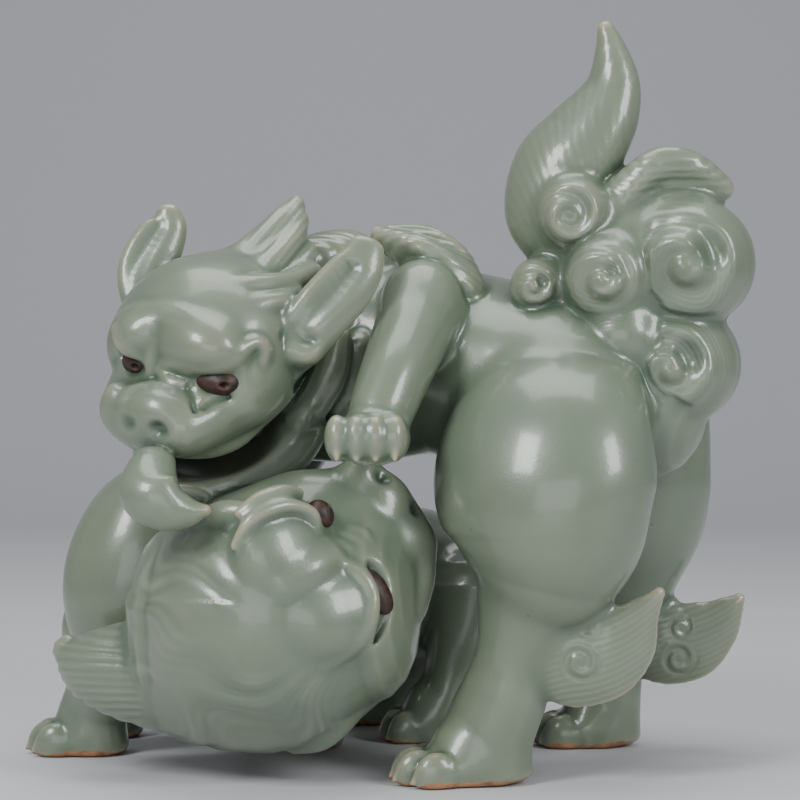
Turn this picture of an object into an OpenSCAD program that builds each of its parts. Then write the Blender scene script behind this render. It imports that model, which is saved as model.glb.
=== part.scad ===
// Celadon group of two foo dogs: one stands over the other and pins it with a paw.
// Hand-built porcelain: each moulded or modelled piece is its own solid, luted to its neighbours.
// +X runs from the heads to the tail, +Y away from the show side, +Z up, with the table at z = 0.

/* [Overall size] */
// Height from the table to the tip of the tail flame
statue_h = 295; // [200:1:400]
// Length from the crouching dog's forepaw to the hind tuft
statue_l = 294; // [200:1:400]
// Depth from the show side to the back
statue_d = 222; // [150:1:300]

/* [Clay] */
// Wall of the hollow trunks and skulls
wall = 6; // [4:0.5:10]
// Height of the flat-bottomed paws
paw_h = 21; // [16:0.5:26]

/* [Standing dog] */
// Length of an ear from its root
ear_l = 48; // [36:1:58]
// Height of the crest behind the forehead
crest_h = 44; // [30:1:54]
// Diameter of an eyeball
eye_d = 15; // [11:0.5:18]
// Length of the tail flame above the curls
flame_l = 92; // [70:1:110]
// Reach of the tufts behind the hocks
tuft_l = 52; // [36:1:60]
// Length of a tooth
tooth_l = 6; // [4:0.5:8]

/* [Crouching dog] */
// Diameter of an eyeball
low_eye_d = 14; // [10:0.5:17]
// Length of an ear from its root
low_ear_l = 34; // [24:1:42]

/* [Hidden] */

glaze = [0.58, 0.66, 0.58];
biscuit = [0.30, 0.18, 0.13];
model_l = 294;
model_d = 222;
model_h = 295;
UP = [0, 0, 1];
FORWARD = [-0.89, 0.45, 0];

// ---- lofts: stations are [x, y, z, half width, half height] ----
function unit(v) = v / norm(v);
function spline(a, b, c, d, t) =
    0.5 * (2 * b + (c - a) * t + (2 * a - 5 * b + 4 * c - d) * t * t + (3 * b - a - 3 * c + d) * t * t * t);
function smooth(path, steps) = let (n = len(path)) [
    for (i = [0 : n - 2], s = [0 : steps - 1])
        spline(path[max(i - 1, 0)], path[i], path[i + 1], path[min(i + 2, n - 1)], s / steps),
    path[n - 1]
];
function at(s) = [s[0], s[1], s[2]];
function tangent(p, i) = unit(at(p[min(i + 1, len(p) - 1)]) - at(p[max(i - 1, 0)]));
function cap(s, t, dir, bulge) = [
    for (w = [30, 60])
        let (c = at(s) + dir * t * bulge * min(s[3], s[4]) * sin(w))
        [c[0], c[1], c[2], s[3] * cos(w), s[4] * cos(w)]
];
function ring(s, t, ref, sides) =
    let (across = unit(cross(ref, t)), over = cross(t, across))
    [for (j = [0 : sides - 1]) at(s) + s[3] * cos(360 * j / sides) * across + s[4] * sin(360 * j / sides) * over];

// A closed organic tube through the stations. ref fixes which way its width lies.
module loft(path, ref = UP, sides = 16, steps = 3, bulge0 = 1, bulge1 = 1) {
    p = smooth(path, steps);
    n = len(p);
    t0 = tangent(p, 0);
    t1 = tangent(p, n - 1);
    c0 = cap(p[0], t0, -1, bulge0);
    c1 = cap(p[n - 1], t1, 1, bulge1);
    rings = concat(
        [ring(c0[1], t0, ref, sides), ring(c0[0], t0, ref, sides)],
        [for (i = [0 : n - 1]) ring(p[i], tangent(p, i), ref, sides)],
        [ring(c1[0], t1, ref, sides), ring(c1[1], t1, ref, sides)]
    );
    m = len(rings);
    start = at(p[0]) - t0 * bulge0 * min(p[0][3], p[0][4]);
    finish = at(p[n - 1]) + t1 * bulge1 * min(p[n - 1][3], p[n - 1][4]);
    points = concat([for (r = rings) for (q = r) q], [start, finish]);
    sides_faces = [
        for (i = [0 : m - 2], j = [0 : sides - 1])
            let (k = (j + 1) % sides) [i * sides + j, (i + 1) * sides + j, (i + 1) * sides + k, i * sides + k]
    ];
    start_faces = [for (j = [0 : sides - 1]) [m * sides, j, (j + 1) % sides]];
    finish_faces = [for (j = [0 : sides - 1]) [m * sides + 1, (m - 1) * sides + (j + 1) % sides, (m - 1) * sides + j]];
    polyhedron(points, concat(sides_faces, start_faces, finish_faces), convexity = 6);
}

module ball(p, r, fn = 18) {
    translate(p) scale(r) sphere(1, $fn = fn);
}

// The whole group at its set size, with the origin below the middle of its box.
module placed() {
    scale([statue_l / model_l, statue_d / model_d, statue_h / model_h]) translate([4.2, -44, 0]) children();
}
// A node's shapes become one mesh.
module piece(tint = glaze) {
    color(tint) resize([0, 0, 0]) placed() children();
}
module above_table() {
    intersection() {
        children();
        translate([-300, -300, 0]) cube([600, 600, 600]);
    }
}

// ---- standing dog: trunk ----
TRUNK = [
    [98, 2, 140, 22, 26], [82, 12, 147, 42, 40], [52, 28, 151, 46, 41], [20, 42, 160.5, 42, 38],
    [-14, 52, 162, 40, 43], [-42, 48, 166, 37, 45], [-60, 32, 168, 32, 41]
];
function thinner(path, w) = [for (s = path) [s[0], s[1], s[2], max(s[3] - w, 2), max(s[4] - w, 2)]];
module trunk_shape() { loft(TRUNK, sides = 20, steps = 2, bulge1 = 0.6); }
module trunk_hollow() { loft(thinner(TRUNK, wall), sides = 14, steps = 2, bulge1 = 0.6); }
module trunk_side(near) {
    translate([52, 28, 0]) rotate(-24) translate([-400, near ? -400 : 0, 0]) cube([800, 400, 400]);
}
module standing_trunk(near) {
    piece() intersection() {
        difference() {
            trunk_shape();
            trunk_hollow();
        }
        trunk_side(near);
    }
}

// ---- standing dog: head, in its own frame: +X along the snout, +Y to its left ----
module head_frame() { translate([-86, -25, 158]) rotate([-12, 18, 238]) children(); }
SKULL = [[-60, 0, 2, 24, 24], [-42, 0, 4, 34, 31], [-22, 0, 4, 38, 33], [-5, 0, 2, 34, 27]];
SNOUT = [[-10, 0, -13, 31, 17], [6, 0, -14, 26, 15], [18, 0, -14, 21, 13]];
module head_shape() {
    head_frame() {
        loft(SKULL, sides = 18, steps = 2, bulge1 = 0.5);
        loft(SNOUT, sides = 14, steps = 2, bulge1 = 0.7);
    }
    brow_ridges();
}
module head_hollow() {
    head_frame() loft(thinner([for (i = [0 : 2]) SKULL[i]], wall + 2), sides = 12, steps = 1, bulge1 = 0.5);
}
module standing_head() {
    piece() difference() {
        head_shape();
        head_hollow();
        trunk_shape();
        eye_shapes();
        jaw_shape();
    }
}
module brow_ridges() {
    head_frame() for (side = [-1, 1]) ball([3, 15 * side, 12], [10, 13, 8], 12);
}
module eye_shapes() {
    difference() {
        head_frame() for (side = [-1, 1]) ball([5, 19.5 * side, 0], eye_d / 2 * [1, 1.2, 0.9], 14);
        brow_ridges();
    }
}
module standing_eyes() { piece(biscuit) eye_shapes(); }
JAW = [[-46, 0, -34, 40, 14], [-30, 0, -41, 40, 12], [-14, 0, -46, 31, 9], [-2, 0, -49, 20, 6]];
module jaw_shape() { head_frame() loft(JAW, sides = 14, steps = 2); }
module standing_jaw() {
    piece() difference() {
        jaw_shape();
        trunk_shape();
        mane_shape();
        tongue_shape();
    }
}
module teeth_shape() {
    head_frame() for (side = [-1, 1], i = [0 : 4])
        translate([6 - 8 * i, side * (8 + i * 3.2), -27 - tooth_l]) cylinder(h = tooth_l + 5, r1 = 1.5, r2 = 2.6, $fn = 6);
}
module standing_teeth() {
    piece() difference() {
        teeth_shape();
        head_shape();
        jaw_shape();
        tongue_shape();
    }
}
TONGUE = [
    [-92, -40, 135, 8, 6], [-94, -50, 124, 10, 7], [-92.5, -56, 114.5, 11.5, 8],
    [-86, -58, 108.5, 9.5, 7.5],
    [-78, -57, 106.5, 6, 5.5], [-72, -56, 107, 2.5, 3]
];
module tongue_shape() { loft(TONGUE, ref = [0, -1, 0], sides = 12, steps = 2); }
module standing_tongue() {
    piece() difference() {
        tongue_shape();
        head_shape();
        mane_shape();
    }
}

// ---- standing dog: ears, crest and mane ----
function grown(path, k) = [for (s = path) [for (i = [0 : 4]) i < 3 ? path[0][i] + (s[i] - path[0][i]) * k : s[i]]];
EAR_NEAR = [
    [-44, -18, 163, 7, 6], [-38, -23, 170, 9, 6], [-31, -24, 179, 9.5, 5.5], [-23, -22, 188, 9.5, 5],
    [-16, -19, 197.5, 8, 4.5], [-12.5, -16, 206, 5, 3.5]
];
EAR_FAR = [
    [-99, 7, 178, 6.5, 5.5], [-102, 10, 187, 8, 6], [-101.5, 14, 197, 10, 6],
    [-96.5, 17, 207, 10.5, 5.5],
    [-92.5, 19, 215, 8, 4.5], [-92, 20, 220.5, 4.5, 3.5]
];
module ear_shape(path) { loft(grown(path, ear_l / 48), ref = [0, 1, 0], sides = 12, steps = 2); }
module standing_ear_near() {
    piece() difference() {
        ear_shape(EAR_NEAR);
        head_shape();
        trunk_shape();
        foreleg_near_shape();
    }
}
module standing_ear_far() {
    piece() difference() {
        ear_shape(EAR_FAR);
        head_shape();
        trunk_shape();
    }
}
CREST = [
    [-57, 3, 186, 18, 14], [-53, 8, 198, 14, 11], [-48, 13, 209, 9, 8], [-44, 17, 218, 5.5, 5.5],
    [-41.5, 20, 224.5, 2.5, 3]
];
module crest_shape() { loft(grown(CREST, crest_h / 44), ref = [0, 1, 0], sides = 12, steps = 2); }
module standing_crest() {
    piece() difference() {
        crest_shape();
        head_shape();
        trunk_shape();
    }
}
NAPE = [[-46, 28, 198, 12, 9], [-32, 36, 203, 14, 10], [-20, 40, 205, 13, 9], [-10, 42, 201, 9, 7]];
module nape_shape() { loft(NAPE, sides = 12, steps = 2); }
module standing_nape_mane() {
    piece() difference() {
        nape_shape();
        trunk_shape();
        head_shape();
        crest_shape();
    }
}
SHOULDER_LOCK = [
    [-9, 20, 212, 3, 3], [-2, 19, 208, 8, 6], [8, 17, 203, 10, 8], [18, 15, 197.5, 11, 8],
    [26, 13, 191, 10, 7], [28, 11, 183, 5, 5]
];
module shoulder_lock_shape() { loft(SHOULDER_LOCK, sides = 12, steps = 2); }
module standing_shoulder_lock_near() {
    piece() difference() {
        shoulder_lock_shape();
        trunk_shape();
        foreleg_near_shape();
        nape_shape();
    }
}
LOCK_FAR = [
    [-28, 70, 203, 4, 4], [-14, 80, 197, 10, 7], [0, 86, 188, 12, 8], [8, 88, 178, 10, 7],
    [9, 88, 168, 5, 5]
];
module shoulder_lock_far_shape() { loft(LOCK_FAR, ref = [0.4, 1, 0.3], sides = 12, steps = 2); }
module standing_shoulder_lock_far() {
    piece() difference() {
        shoulder_lock_far_shape();
        trunk_shape();
        foreleg_far_shape();
    }
}

// ---- standing dog: legs ----
FORELEG_NEAR = [
    [8, 14, 188, 13, 13], [7, 0, 179, 15.5, 15], [2, -13, 166, 14.5, 15],
    [-2.5, -24, 155, 13.5, 14], [-7, -33, 143, 12.5, 12]
];
module foreleg_near_shape() { loft(FORELEG_NEAR, ref = [0, 1, 0.3], sides = 14, steps = 2); }
module standing_foreleg_near() {
    piece() difference() {
        foreleg_near_shape();
        trunk_shape();
        forepaw_near_shape();
    }
}
module forepaw_near_shape() { ball([-11, -42, 133], [16, 13, 10], 16); }
module standing_forepaw_near() {
    piece() difference() {
        forepaw_near_shape();
        mane_shape();
    }
}
FORELEG_FAR = [
    [-22, 76, 174, 14, 14], [-26, 94, 160, 15, 15], [-34, 104, 140, 14, 14],
    [-44, 106, 122, 13, 13], [-52, 105, 110, 12, 12]
];
module foreleg_far_shape() { loft(FORELEG_FAR, ref = FORWARD, sides = 14, steps = 2); }
module standing_foreleg_far() {
    piece() difference() {
        foreleg_far_shape();
        trunk_shape();
        forepaw_far_shape();
    }
}
module forepaw_far_shape() { ball([-60, 106, 100], [16, 13, 10], 16); }
module standing_forepaw_far() {
    piece() difference() {
        forepaw_far_shape();
        low_trunk_shape();
    }
}
HINDLEG_NEAR = [
    [64, -4, 150, 24, 34], [57, -18, 132, 30, 42], [55, -24, 113, 33, 44], [57, -26, 94, 32, 42],
    [54, -25, 79, 25, 31],
    [49, -23, 66, 17, 19], [44, -22, 48, 14.5, 15.5], [40, -21, 34, 15, 17], [34, -20, 18, 15, 18]
];
module hindleg_near_shape() {
    above_table() loft(HINDLEG_NEAR, ref = FORWARD, sides = 18, steps = 2, bulge1 = 0.3);
}
module haunch_hollow(path) {
    loft(thinner([for (i = [0 : 4]) path[i]], wall), ref = FORWARD, sides = 12, steps = 1, bulge1 = 0.3);
}
module standing_hindleg_near() {
    piece() difference() {
        hindleg_near_shape();
        haunch_hollow(HINDLEG_NEAR);
        trunk_shape();
        hindpaw_near_shape();
    }
}
module hindpaw_near_shape() { paw([27, -20], -8, 25, 17); }
module standing_hindpaw_near() { piece() hindpaw_near_shape(); }
HINDLEG_FAR = [
    [96, 60, 150, 24, 32], [94, 57, 130, 28, 35], [92, 57, 111, 30, 37], [92, 58, 92, 29, 34],
    [91, 61, 72, 22, 25],
    [89, 65, 52, 15, 16], [88, 67, 34, 13, 14], [86, 68, 18, 13, 15]
];
module hindleg_far_shape() {
    above_table() loft(HINDLEG_FAR, ref = FORWARD, sides = 16, steps = 2, bulge1 = 0.3);
}
module standing_hindleg_far() {
    piece() difference() {
        hindleg_far_shape();
        haunch_hollow(HINDLEG_FAR);
        trunk_shape();
        hindpaw_far_shape();
        hindleg_near_shape();
    }
}
module hindpaw_far_shape() { paw([80, 68], -8, 18, 17); }
module standing_hindpaw_far() { piece() hindpaw_far_shape(); }

// A flat-bottomed paw, centred at c, that points along -X turned by turn.
module paw(c, turn, l, w) {
    above_table() translate([c[0], c[1], 0]) rotate(turn)
        loft([[l * 0.62, 0, paw_h * 0.30, w * 0.8, paw_h * 0.62], [0, 0, paw_h * 0.34, w * 0.95, paw_h * 0.66],
              [-l * 0.62, 0, paw_h * 0.22, w, paw_h * 0.55]], sides = 14, steps = 2);
}

// ---- hock tufts ----
TUFT_NEAR = [
    [50, -26, 50, 7, 14], [62, -31, 50.5, 7, 20], [75, -34, 52, 6, 19.5], [85, -34, 58, 5, 15],
    [92.5, -33, 67, 3.5, 7],
    [98.5, -32, 74.5, 2, 2.5]
];
TUFT_FAR = [
    [96, 60, 46, 7, 14], [108, 56, 45, 7, 18], [120, 55, 46, 6, 17], [130, 55, 52, 5, 12],
    [137, 55, 59, 3.5, 6],
    [140.5, 55, 63, 2, 2.5]
];
module tuft_shape(path) { loft(grown(path, tuft_l / 52), sides = 12, steps = 2); }
module hock_tuft_near() {
    piece() difference() {
        tuft_shape(TUFT_NEAR);
        hindleg_near_shape();
    }
}
module hock_tuft_far() {
    piece() difference() {
        tuft_shape(TUFT_FAR);
        hindleg_far_shape();
    }
}

// ---- tail ----
TAIL_CORE = [
    [82, 10, 172, 20, 20], [88, 10, 186, 26, 28], [94, 10, 204, 26, 30], [100, 10, 220, 18, 20]
];
module tail_core_shape() { loft(TAIL_CORE, ref = FORWARD, sides = 14, steps = 2, bulge1 = 0.5); }
module tail_core() {
    piece() difference() {
        tail_core_shape();
        trunk_shape();
    }
}
FLAME = [
    [66, 12, 204, 11, 13], [58.5, 12, 219, 14, 17.5], [63.5, 12, 236, 15, 20.5],
    [73, 12, 248.5, 14, 18.5],
    [80.5, 12, 260, 12, 15], [84, 12, 271, 9, 11], [83, 12, 284, 6, 6.5], [81, 12, 292, 3.5, 3.5]
];
module flame_shape() { loft(grown(FLAME, flame_l / 92), ref = FORWARD, sides = 14, steps = 2); }
module tail_flame() {
    piece() difference() {
        flame_shape();
        tail_core_shape();
        trunk_shape();
    }
}
TOP_LOCK = [[84, 8, 222, 17, 9], [98, 8, 234, 18, 8], [114, 6, 236, 14, 7], [126, 5, 230, 7, 4.5]];
module top_lock_shape() { loft(TOP_LOCK, sides = 12, steps = 2); }
module tail_top_lock() {
    piece() difference() {
        top_lock_shape();
        tail_core_shape();
        flame_shape();
    }
}
// Curls along the tail, as [x, z, radius, how far it stands out from the middle].
CURLS = [
    [68, 219, 14, 14], [54, 191, 11, 8], [80, 194, 16, 22], [113, 200, 25, 14], [86, 171, 16, 18],
    [108, 160, 24, 11]
];
module tail_curl_shapes(side) {
    for (c = CURLS)
        translate([c[0] + 2 * (1 - side), 10 - side * c[3], c[1]]) sphere(c[2], $fn = 12);
}
module tail_curls_near() {
    piece() difference() {
        tail_curl_shapes(1);
        tail_core_shape();
        trunk_shape();
        flame_shape();
        top_lock_shape();
        translate([0, 10, 0]) cube([300, 300, 300]);
        hindleg_near_shape();
        hindleg_far_shape();
    }
}
module tail_curls_far() {
    piece() difference() {
        tail_curl_shapes(-1);
        tail_core_shape();
        trunk_shape();
        flame_shape();
        top_lock_shape();
        translate([0, -290, 0]) cube([300, 300, 300]);
        hindleg_far_shape();
    }
}

// ---- crouching dog ----
LOW_TRUNK = [
    [30, 104, 62, 26, 28], [6, 106, 64, 34, 33], [-30, 98, 66, 36, 34], [-66, 84, 70, 36, 36],
    [-92, 62, 78, 32, 38]
];
module low_trunk_shape() { loft(LOW_TRUNK, sides = 18, steps = 2, bulge1 = 0.6); }
module low_trunk_hollow() { loft(thinner(LOW_TRUNK, wall), sides = 14, steps = 2, bulge1 = 0.6); }
module low_trunk_side(near) {
    translate([-30, 96, 0]) rotate(-15) translate([-400, near ? -400 : 0, 0]) cube([800, 400, 400]);
}
module crouching_trunk(near) {
    piece() intersection() {
        difference() {
            low_trunk_shape();
            low_trunk_hollow();
            trunk_shape();
        }
        low_trunk_side(near);
    }
}
// The crouching head's own frame: +X along the muzzle, +Y to its left, +Z out of the crown.
// Its origin is midway between the eyes.
module low_head_frame() {
    multmatrix([[0.664, -0.590, 0.465, -18], [0.574, 0, -0.819, -35], [0.483, 0.811, 0.338, 91], [0, 0, 0, 1]]) children();
}
LOW_SKULL = [
    [-34, 0, -26, 42, 28], [-14, 0, -19, 42, 24], [4, 0, -14, 38, 19], [20, 0, -12, 29, 16],
    [30, 0, -12, 25, 14]
];
module low_head_shape() { low_head_frame() loft(LOW_SKULL, sides = 18, steps = 2, bulge1 = 0.5); }
module crouching_head() {
    piece() difference() {
        low_head_shape();
        mane_shape();
        brow_shapes();
        low_eye_shapes();
        low_trunk_shape();
    }
}
module low_eye_shapes() {
    low_head_frame() for (side = [-1, 1]) ball([0, 17 * side, 1], low_eye_d / 2 * [1, 1.2, 0.9], 14);
}
module crouching_eyes() { piece(biscuit) low_eye_shapes(); }
BROW_UPPER = [
    [-9, 15, 7, 5, 4], [-10, 22, 8, 8, 5], [-18, 29, 9, 9, 6], [-30, 32, 8, 8, 6],
    [-41, 32, 6, 5, 4]
];
BROW_LOWER = [
    [-10, -3, 8, 4, 4], [-8, -12, 9, 7, 6], [-9, -20, 8, 9, 6], [-15, -26, 7, 8, 6],
    [-22, -29, 4, 5, 4]
];
module brow_shapes() {
    low_head_frame() {
        loft(BROW_UPPER, sides = 10, steps = 2);
        loft(BROW_LOWER, sides = 10, steps = 2);
    }
}
module crouching_brows() {
    piece() difference() {
        brow_shapes();
        low_eye_shapes();
        mane_shape();
    }
}
MANE = [
    [-86, -8, 62, 36, 36], [-70, -12, 62, 47, 46], [-50, -14, 64, 52, 50], [-30, -16, 66, 46, 46],
    [-14, -18, 68, 36, 38]
];
MANE_LOW = [
    [-96, -4, 40, 22, 20], [-76, -6, 35, 34, 22], [-52, -6, 33, 38, 22], [-34, -8, 38, 30, 22],
    [-22, -8, 44, 20, 18]
];
MANE_FOOT = [[-50, 22, 42, 26, 26], [-46, 50, 22, 18, 24], [-44, 66, 6, 12, 22]];
module mane_shape() {
    above_table() {
        loft(MANE, sides = 18, steps = 2, bulge0 = 0.5, bulge1 = 0.6);
        loft(MANE_LOW, sides = 14, steps = 2, bulge0 = 0.6, bulge1 = 0.6);
        loft(MANE_FOOT, ref = FORWARD, sides = 12, steps = 2);
    }
}
module mane_hollow() {
    loft(thinner(MANE, wall + 2), sides = 14, steps = 1, bulge0 = 0.5, bulge1 = 0.5);
    translate([-58, -10, 66]) rotate([-90, 0, 0]) cylinder(h = 70, r = 22, $fn = 14);
}
module crouching_mane() {
    piece() difference() {
        mane_shape();
        mane_hollow();
        low_trunk_shape();
        low_eye_shapes();
    }
}
LOW_JAW = [[-6, 0, -38, 26, 10], [12, 0, -36, 22, 9], [24, 0, -34, 16, 7]];
module low_jaw_shape() { low_head_frame() loft(LOW_JAW, sides = 12, steps = 2); }
module crouching_jaw() {
    piece() difference() {
        low_jaw_shape();
        low_head_shape();
        mane_shape();
        low_trunk_shape();
    }
}
LOW_EAR_UPPER = [
    [-74, -36, 99, 6, 4], [-66, -42, 103, 7, 5], [-57, -46, 105, 5, 4], [-50, -48, 104, 2.5, 2.5]
];
LOW_EAR_LOWER = [
    [-18, -28, 42, 6, 5], [-22, -26, 30, 8, 6], [-31, -22, 19, 7, 6], [-40, -17, 13, 3, 3]
];
module low_ear_shape(path) {
    loft(grown(path, low_ear_l / 34), ref = [0, 1, 0], sides = 10, steps = 2);
}
module crouching_ear_upper() {
    piece() difference() {
        low_ear_shape(LOW_EAR_UPPER);
        low_head_shape();
        mane_shape();
        brow_shapes();
        jaw_shape();
        tongue_shape();
    }
}
module crouching_ear_lower() {
    piece() above_table() difference() {
        low_ear_shape(LOW_EAR_LOWER);
        low_head_shape();
        mane_shape();
    }
}
CHEEK_LOCK = [
    [-84, -14, 41, 16, 22], [-97, -14, 41.5, 15, 21.5], [-108, -12, 42, 14, 19],
    [-119, -10, 44, 11.5, 15.5],
    [-126, -8, 47, 8, 11], [-130, -7, 49.5, 5, 6]
];
module cheek_lock_shape() { loft(CHEEK_LOCK, sides = 14, steps = 2); }
module crouching_cheek_lock() {
    piece() difference() {
        cheek_lock_shape();
        mane_shape();
        low_foreleg_near_shape();
    }
}
LOW_FORELEG_NEAR = [
    [-90, 48, 106, 20, 18], [-101, 42, 94, 26, 25], [-109, 37, 78, 25, 27],
    [-112, 37, 58, 24, 25], [-117, 42, 38, 16, 17],
    [-125, 46, 18, 13, 14]
];
module low_foreleg_near_shape() {
    loft(LOW_FORELEG_NEAR, ref = FORWARD, sides = 16, steps = 2, bulge1 = 0.5);
}
module crouching_foreleg_near() {
    piece() difference() {
        low_foreleg_near_shape();
        low_trunk_shape();
        mane_shape();
        low_forepaw_near_shape();
    }
}
module low_forepaw_near_shape() { paw([-129, 48], -4, 17.5, 16); }
module crouching_forepaw_near() { piece() low_forepaw_near_shape(); }
LOW_FORELEG_FAR = [
    [-92, 92, 84, 18, 20], [-116, 96, 66, 17, 18], [-130, 92, 46, 14, 15], [-124, 92, 20, 12, 13]
];
module low_foreleg_far_shape() {
    loft(LOW_FORELEG_FAR, ref = FORWARD, sides = 12, steps = 2, bulge1 = 0.5);
}
module crouching_foreleg_far() {
    piece() difference() {
        low_foreleg_far_shape();
        low_trunk_shape();
        low_forepaw_far_shape();
        low_foreleg_near_shape();
    }
}
module low_forepaw_far_shape() { paw([-124, 92], -4, 19, 15); }
module crouching_forepaw_far() { piece() low_forepaw_far_shape(); }
LOW_HINDLEG_NEAR = [
    [28, 84, 62, 18, 24], [26, 80, 46, 14, 17], [22, 79, 30, 11, 12], [18, 78, 15, 11, 11]
];
module low_hindleg_near_shape() {
    loft(LOW_HINDLEG_NEAR, ref = FORWARD, sides = 12, steps = 2, bulge1 = 0.5);
}
module crouching_hindleg_near() {
    piece() difference() {
        low_hindleg_near_shape();
        low_trunk_shape();
        low_hindpaw_near_shape();
    }
}
module low_hindpaw_near_shape() { paw([13, 78], -4, 17, 13); }
module crouching_hindpaw_near() { piece() low_hindpaw_near_shape(); }
LOW_HINDLEG_FAR = [
    [14, 126, 62, 20, 26], [2, 130, 44, 24, 30], [-6, 131, 26, 22, 26], [-8, 131, 12, 16, 18]
];
module low_hindleg_far_shape() {
    above_table() loft(LOW_HINDLEG_FAR, ref = FORWARD, sides = 14, steps = 2, bulge1 = 0.4);
}
module crouching_hindleg_far() {
    piece() difference() {
        low_hindleg_far_shape();
        low_trunk_shape();
        low_hindpaw_far_shape();
    }
}
module low_hindpaw_far_shape() { paw([-12, 131], -4, 22, 17); }
module crouching_hindpaw_far() { piece() low_hindpaw_far_shape(); }
LOW_TAIL = [
    [34, 116, 72, 10, 12], [44, 128, 80, 13, 15], [52, 136, 96, 12, 14], [50, 138, 112, 8, 9],
    [44, 138, 122, 3, 4]
];
module low_tail_shape() { loft(LOW_TAIL, ref = FORWARD, sides = 12, steps = 2); }
module crouching_tail() {
    piece() difference() {
        low_tail_shape();
        low_trunk_shape();
        hindleg_far_shape();
        trunk_shape();
    }
}

standing_trunk(true);  // standing_trunk_near
standing_trunk(false);  // standing_trunk_far
standing_head();
standing_jaw();
standing_teeth();
standing_tongue();
standing_ear_near();
standing_ear_far();
standing_crest();
standing_nape_mane();
standing_shoulder_lock_near();
standing_shoulder_lock_far();
standing_eyes();
standing_foreleg_near();
standing_forepaw_near();
standing_foreleg_far();
standing_forepaw_far();
standing_hindleg_near();
standing_hindpaw_near();
standing_hindleg_far();
standing_hindpaw_far();
hock_tuft_near();
hock_tuft_far();
tail_core();
tail_flame();
tail_top_lock();
tail_curls_near();
tail_curls_far();
crouching_trunk(true);  // crouching_trunk_near
crouching_trunk(false);  // crouching_trunk_far
crouching_head();
crouching_mane();
crouching_brows();
crouching_eyes();
crouching_jaw();
crouching_ear_upper();
crouching_ear_lower();
crouching_cheek_lock();
crouching_foreleg_near();
crouching_forepaw_near();
crouching_foreleg_far();
crouching_forepaw_far();
crouching_hindleg_near();
crouching_hindpaw_near();
crouching_hindleg_far();
crouching_hindpaw_far();
crouching_tail();
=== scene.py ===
import math
import bpy
import numpy as np
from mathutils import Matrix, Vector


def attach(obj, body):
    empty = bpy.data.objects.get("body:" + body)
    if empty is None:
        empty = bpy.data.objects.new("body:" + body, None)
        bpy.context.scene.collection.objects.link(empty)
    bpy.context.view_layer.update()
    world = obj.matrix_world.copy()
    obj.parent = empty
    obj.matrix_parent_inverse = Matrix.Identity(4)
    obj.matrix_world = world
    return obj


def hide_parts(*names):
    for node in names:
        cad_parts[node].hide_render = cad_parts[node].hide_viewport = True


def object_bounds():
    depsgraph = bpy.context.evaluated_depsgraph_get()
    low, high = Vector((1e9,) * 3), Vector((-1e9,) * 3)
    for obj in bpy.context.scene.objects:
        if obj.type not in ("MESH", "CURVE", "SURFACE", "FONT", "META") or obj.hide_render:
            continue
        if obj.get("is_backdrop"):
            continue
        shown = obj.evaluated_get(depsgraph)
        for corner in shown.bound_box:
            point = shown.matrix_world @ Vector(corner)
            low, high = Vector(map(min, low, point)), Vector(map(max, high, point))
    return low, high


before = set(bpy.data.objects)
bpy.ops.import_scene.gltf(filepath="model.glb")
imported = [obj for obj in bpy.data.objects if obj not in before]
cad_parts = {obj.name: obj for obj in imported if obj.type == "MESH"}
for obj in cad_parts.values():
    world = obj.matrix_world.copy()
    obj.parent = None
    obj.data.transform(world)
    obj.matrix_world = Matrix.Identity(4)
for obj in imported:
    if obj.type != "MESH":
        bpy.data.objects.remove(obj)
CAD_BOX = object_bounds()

import openvdb as vdb
from mathutils import Vector

# The clay is modelled as one distance field per dog, in millimetres, so that limbs, locks and faces flow into each
# other as luted clay does under glaze. The field is meshed once and cut along the CAD nodes into the pieces.
H = 0.9          # the size of a voxel
BAND = 10.0                             # how far from the surface distances are kept
OFF = np.array([4.2, -44.0, 0.0])       # from the design's origin to the middle of the CAD box
I0 = np.floor(np.array([-153.0, -118.0, -8.0]) / H).astype(int)
I1 = np.ceil(np.array([153.0, 118.0, 303.0]) / H).astype(int)
N = I1 - I0 + 1
METRES = 0.001
SKIRT = 1.2                             # how deep each piece's edge turns in under its seam
JOIN_TAIL, JOIN_DOGS, ARRIS = 2.2, 1.6, 1.6
TURN = 2 * math.pi
ATTRIBUTES = ("pooling_and_shade", "comb", "hair", "wave", "bare", "painted_mouth_shade")
f32 = np.float32

NAMES = sorted(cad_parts)
ID = {n: i + 1 for i, n in enumerate(NAMES)}


def unit(v):
    v = np.asarray(v, float)
    return v / max(np.linalg.norm(v), 1e-9)


def rot(axis, deg):
    c, s = math.cos(math.radians(deg)), math.sin(math.radians(deg))
    return np.array({"x": [[1, 0, 0], [0, c, -s], [0, s, c]], "y": [[c, 0, s], [0, 1, 0], [-s, 0, c]],
                     "z": [[c, -s, 0], [s, c, 0], [0, 0, 1]]}[axis], float)


# Frames: origin in design millimetres, and a matrix whose columns are its axes.
WORLD = (np.zeros(3), np.eye(3))
HEAD = (np.array([-86.0, -25.0, 158.0]), rot("z", 238) @ rot("y", 18) @ rot("x", -12))
LOWHEAD = (np.array([-18.0, -35.0, 91.0]),
           np.array([[0.664, -0.590, 0.465], [0.574, 0.0, -0.819], [0.483, 0.811, 0.338]]))


def place(fr, p):
    return fr[0] + np.asarray(p, float) @ fr[1].T + OFF


def smooth_path(path, steps):
    P = np.asarray(path, float)
    n = len(P)
    out = []
    for i in range(n - 1):
        a, b, c, d = P[max(i - 1, 0)], P[i], P[i + 1], P[min(i + 2, n - 1)]
        for s in range(steps):
            t = s / steps
            bend, twist = 2 * a - 5 * b + 4 * c - d, 3 * b - a - 3 * c + d
            out.append(0.5 * (2 * b + (c - a) * t + bend * t * t + twist * t ** 3))
    out.append(P[-1])
    return np.array(out)


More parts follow.
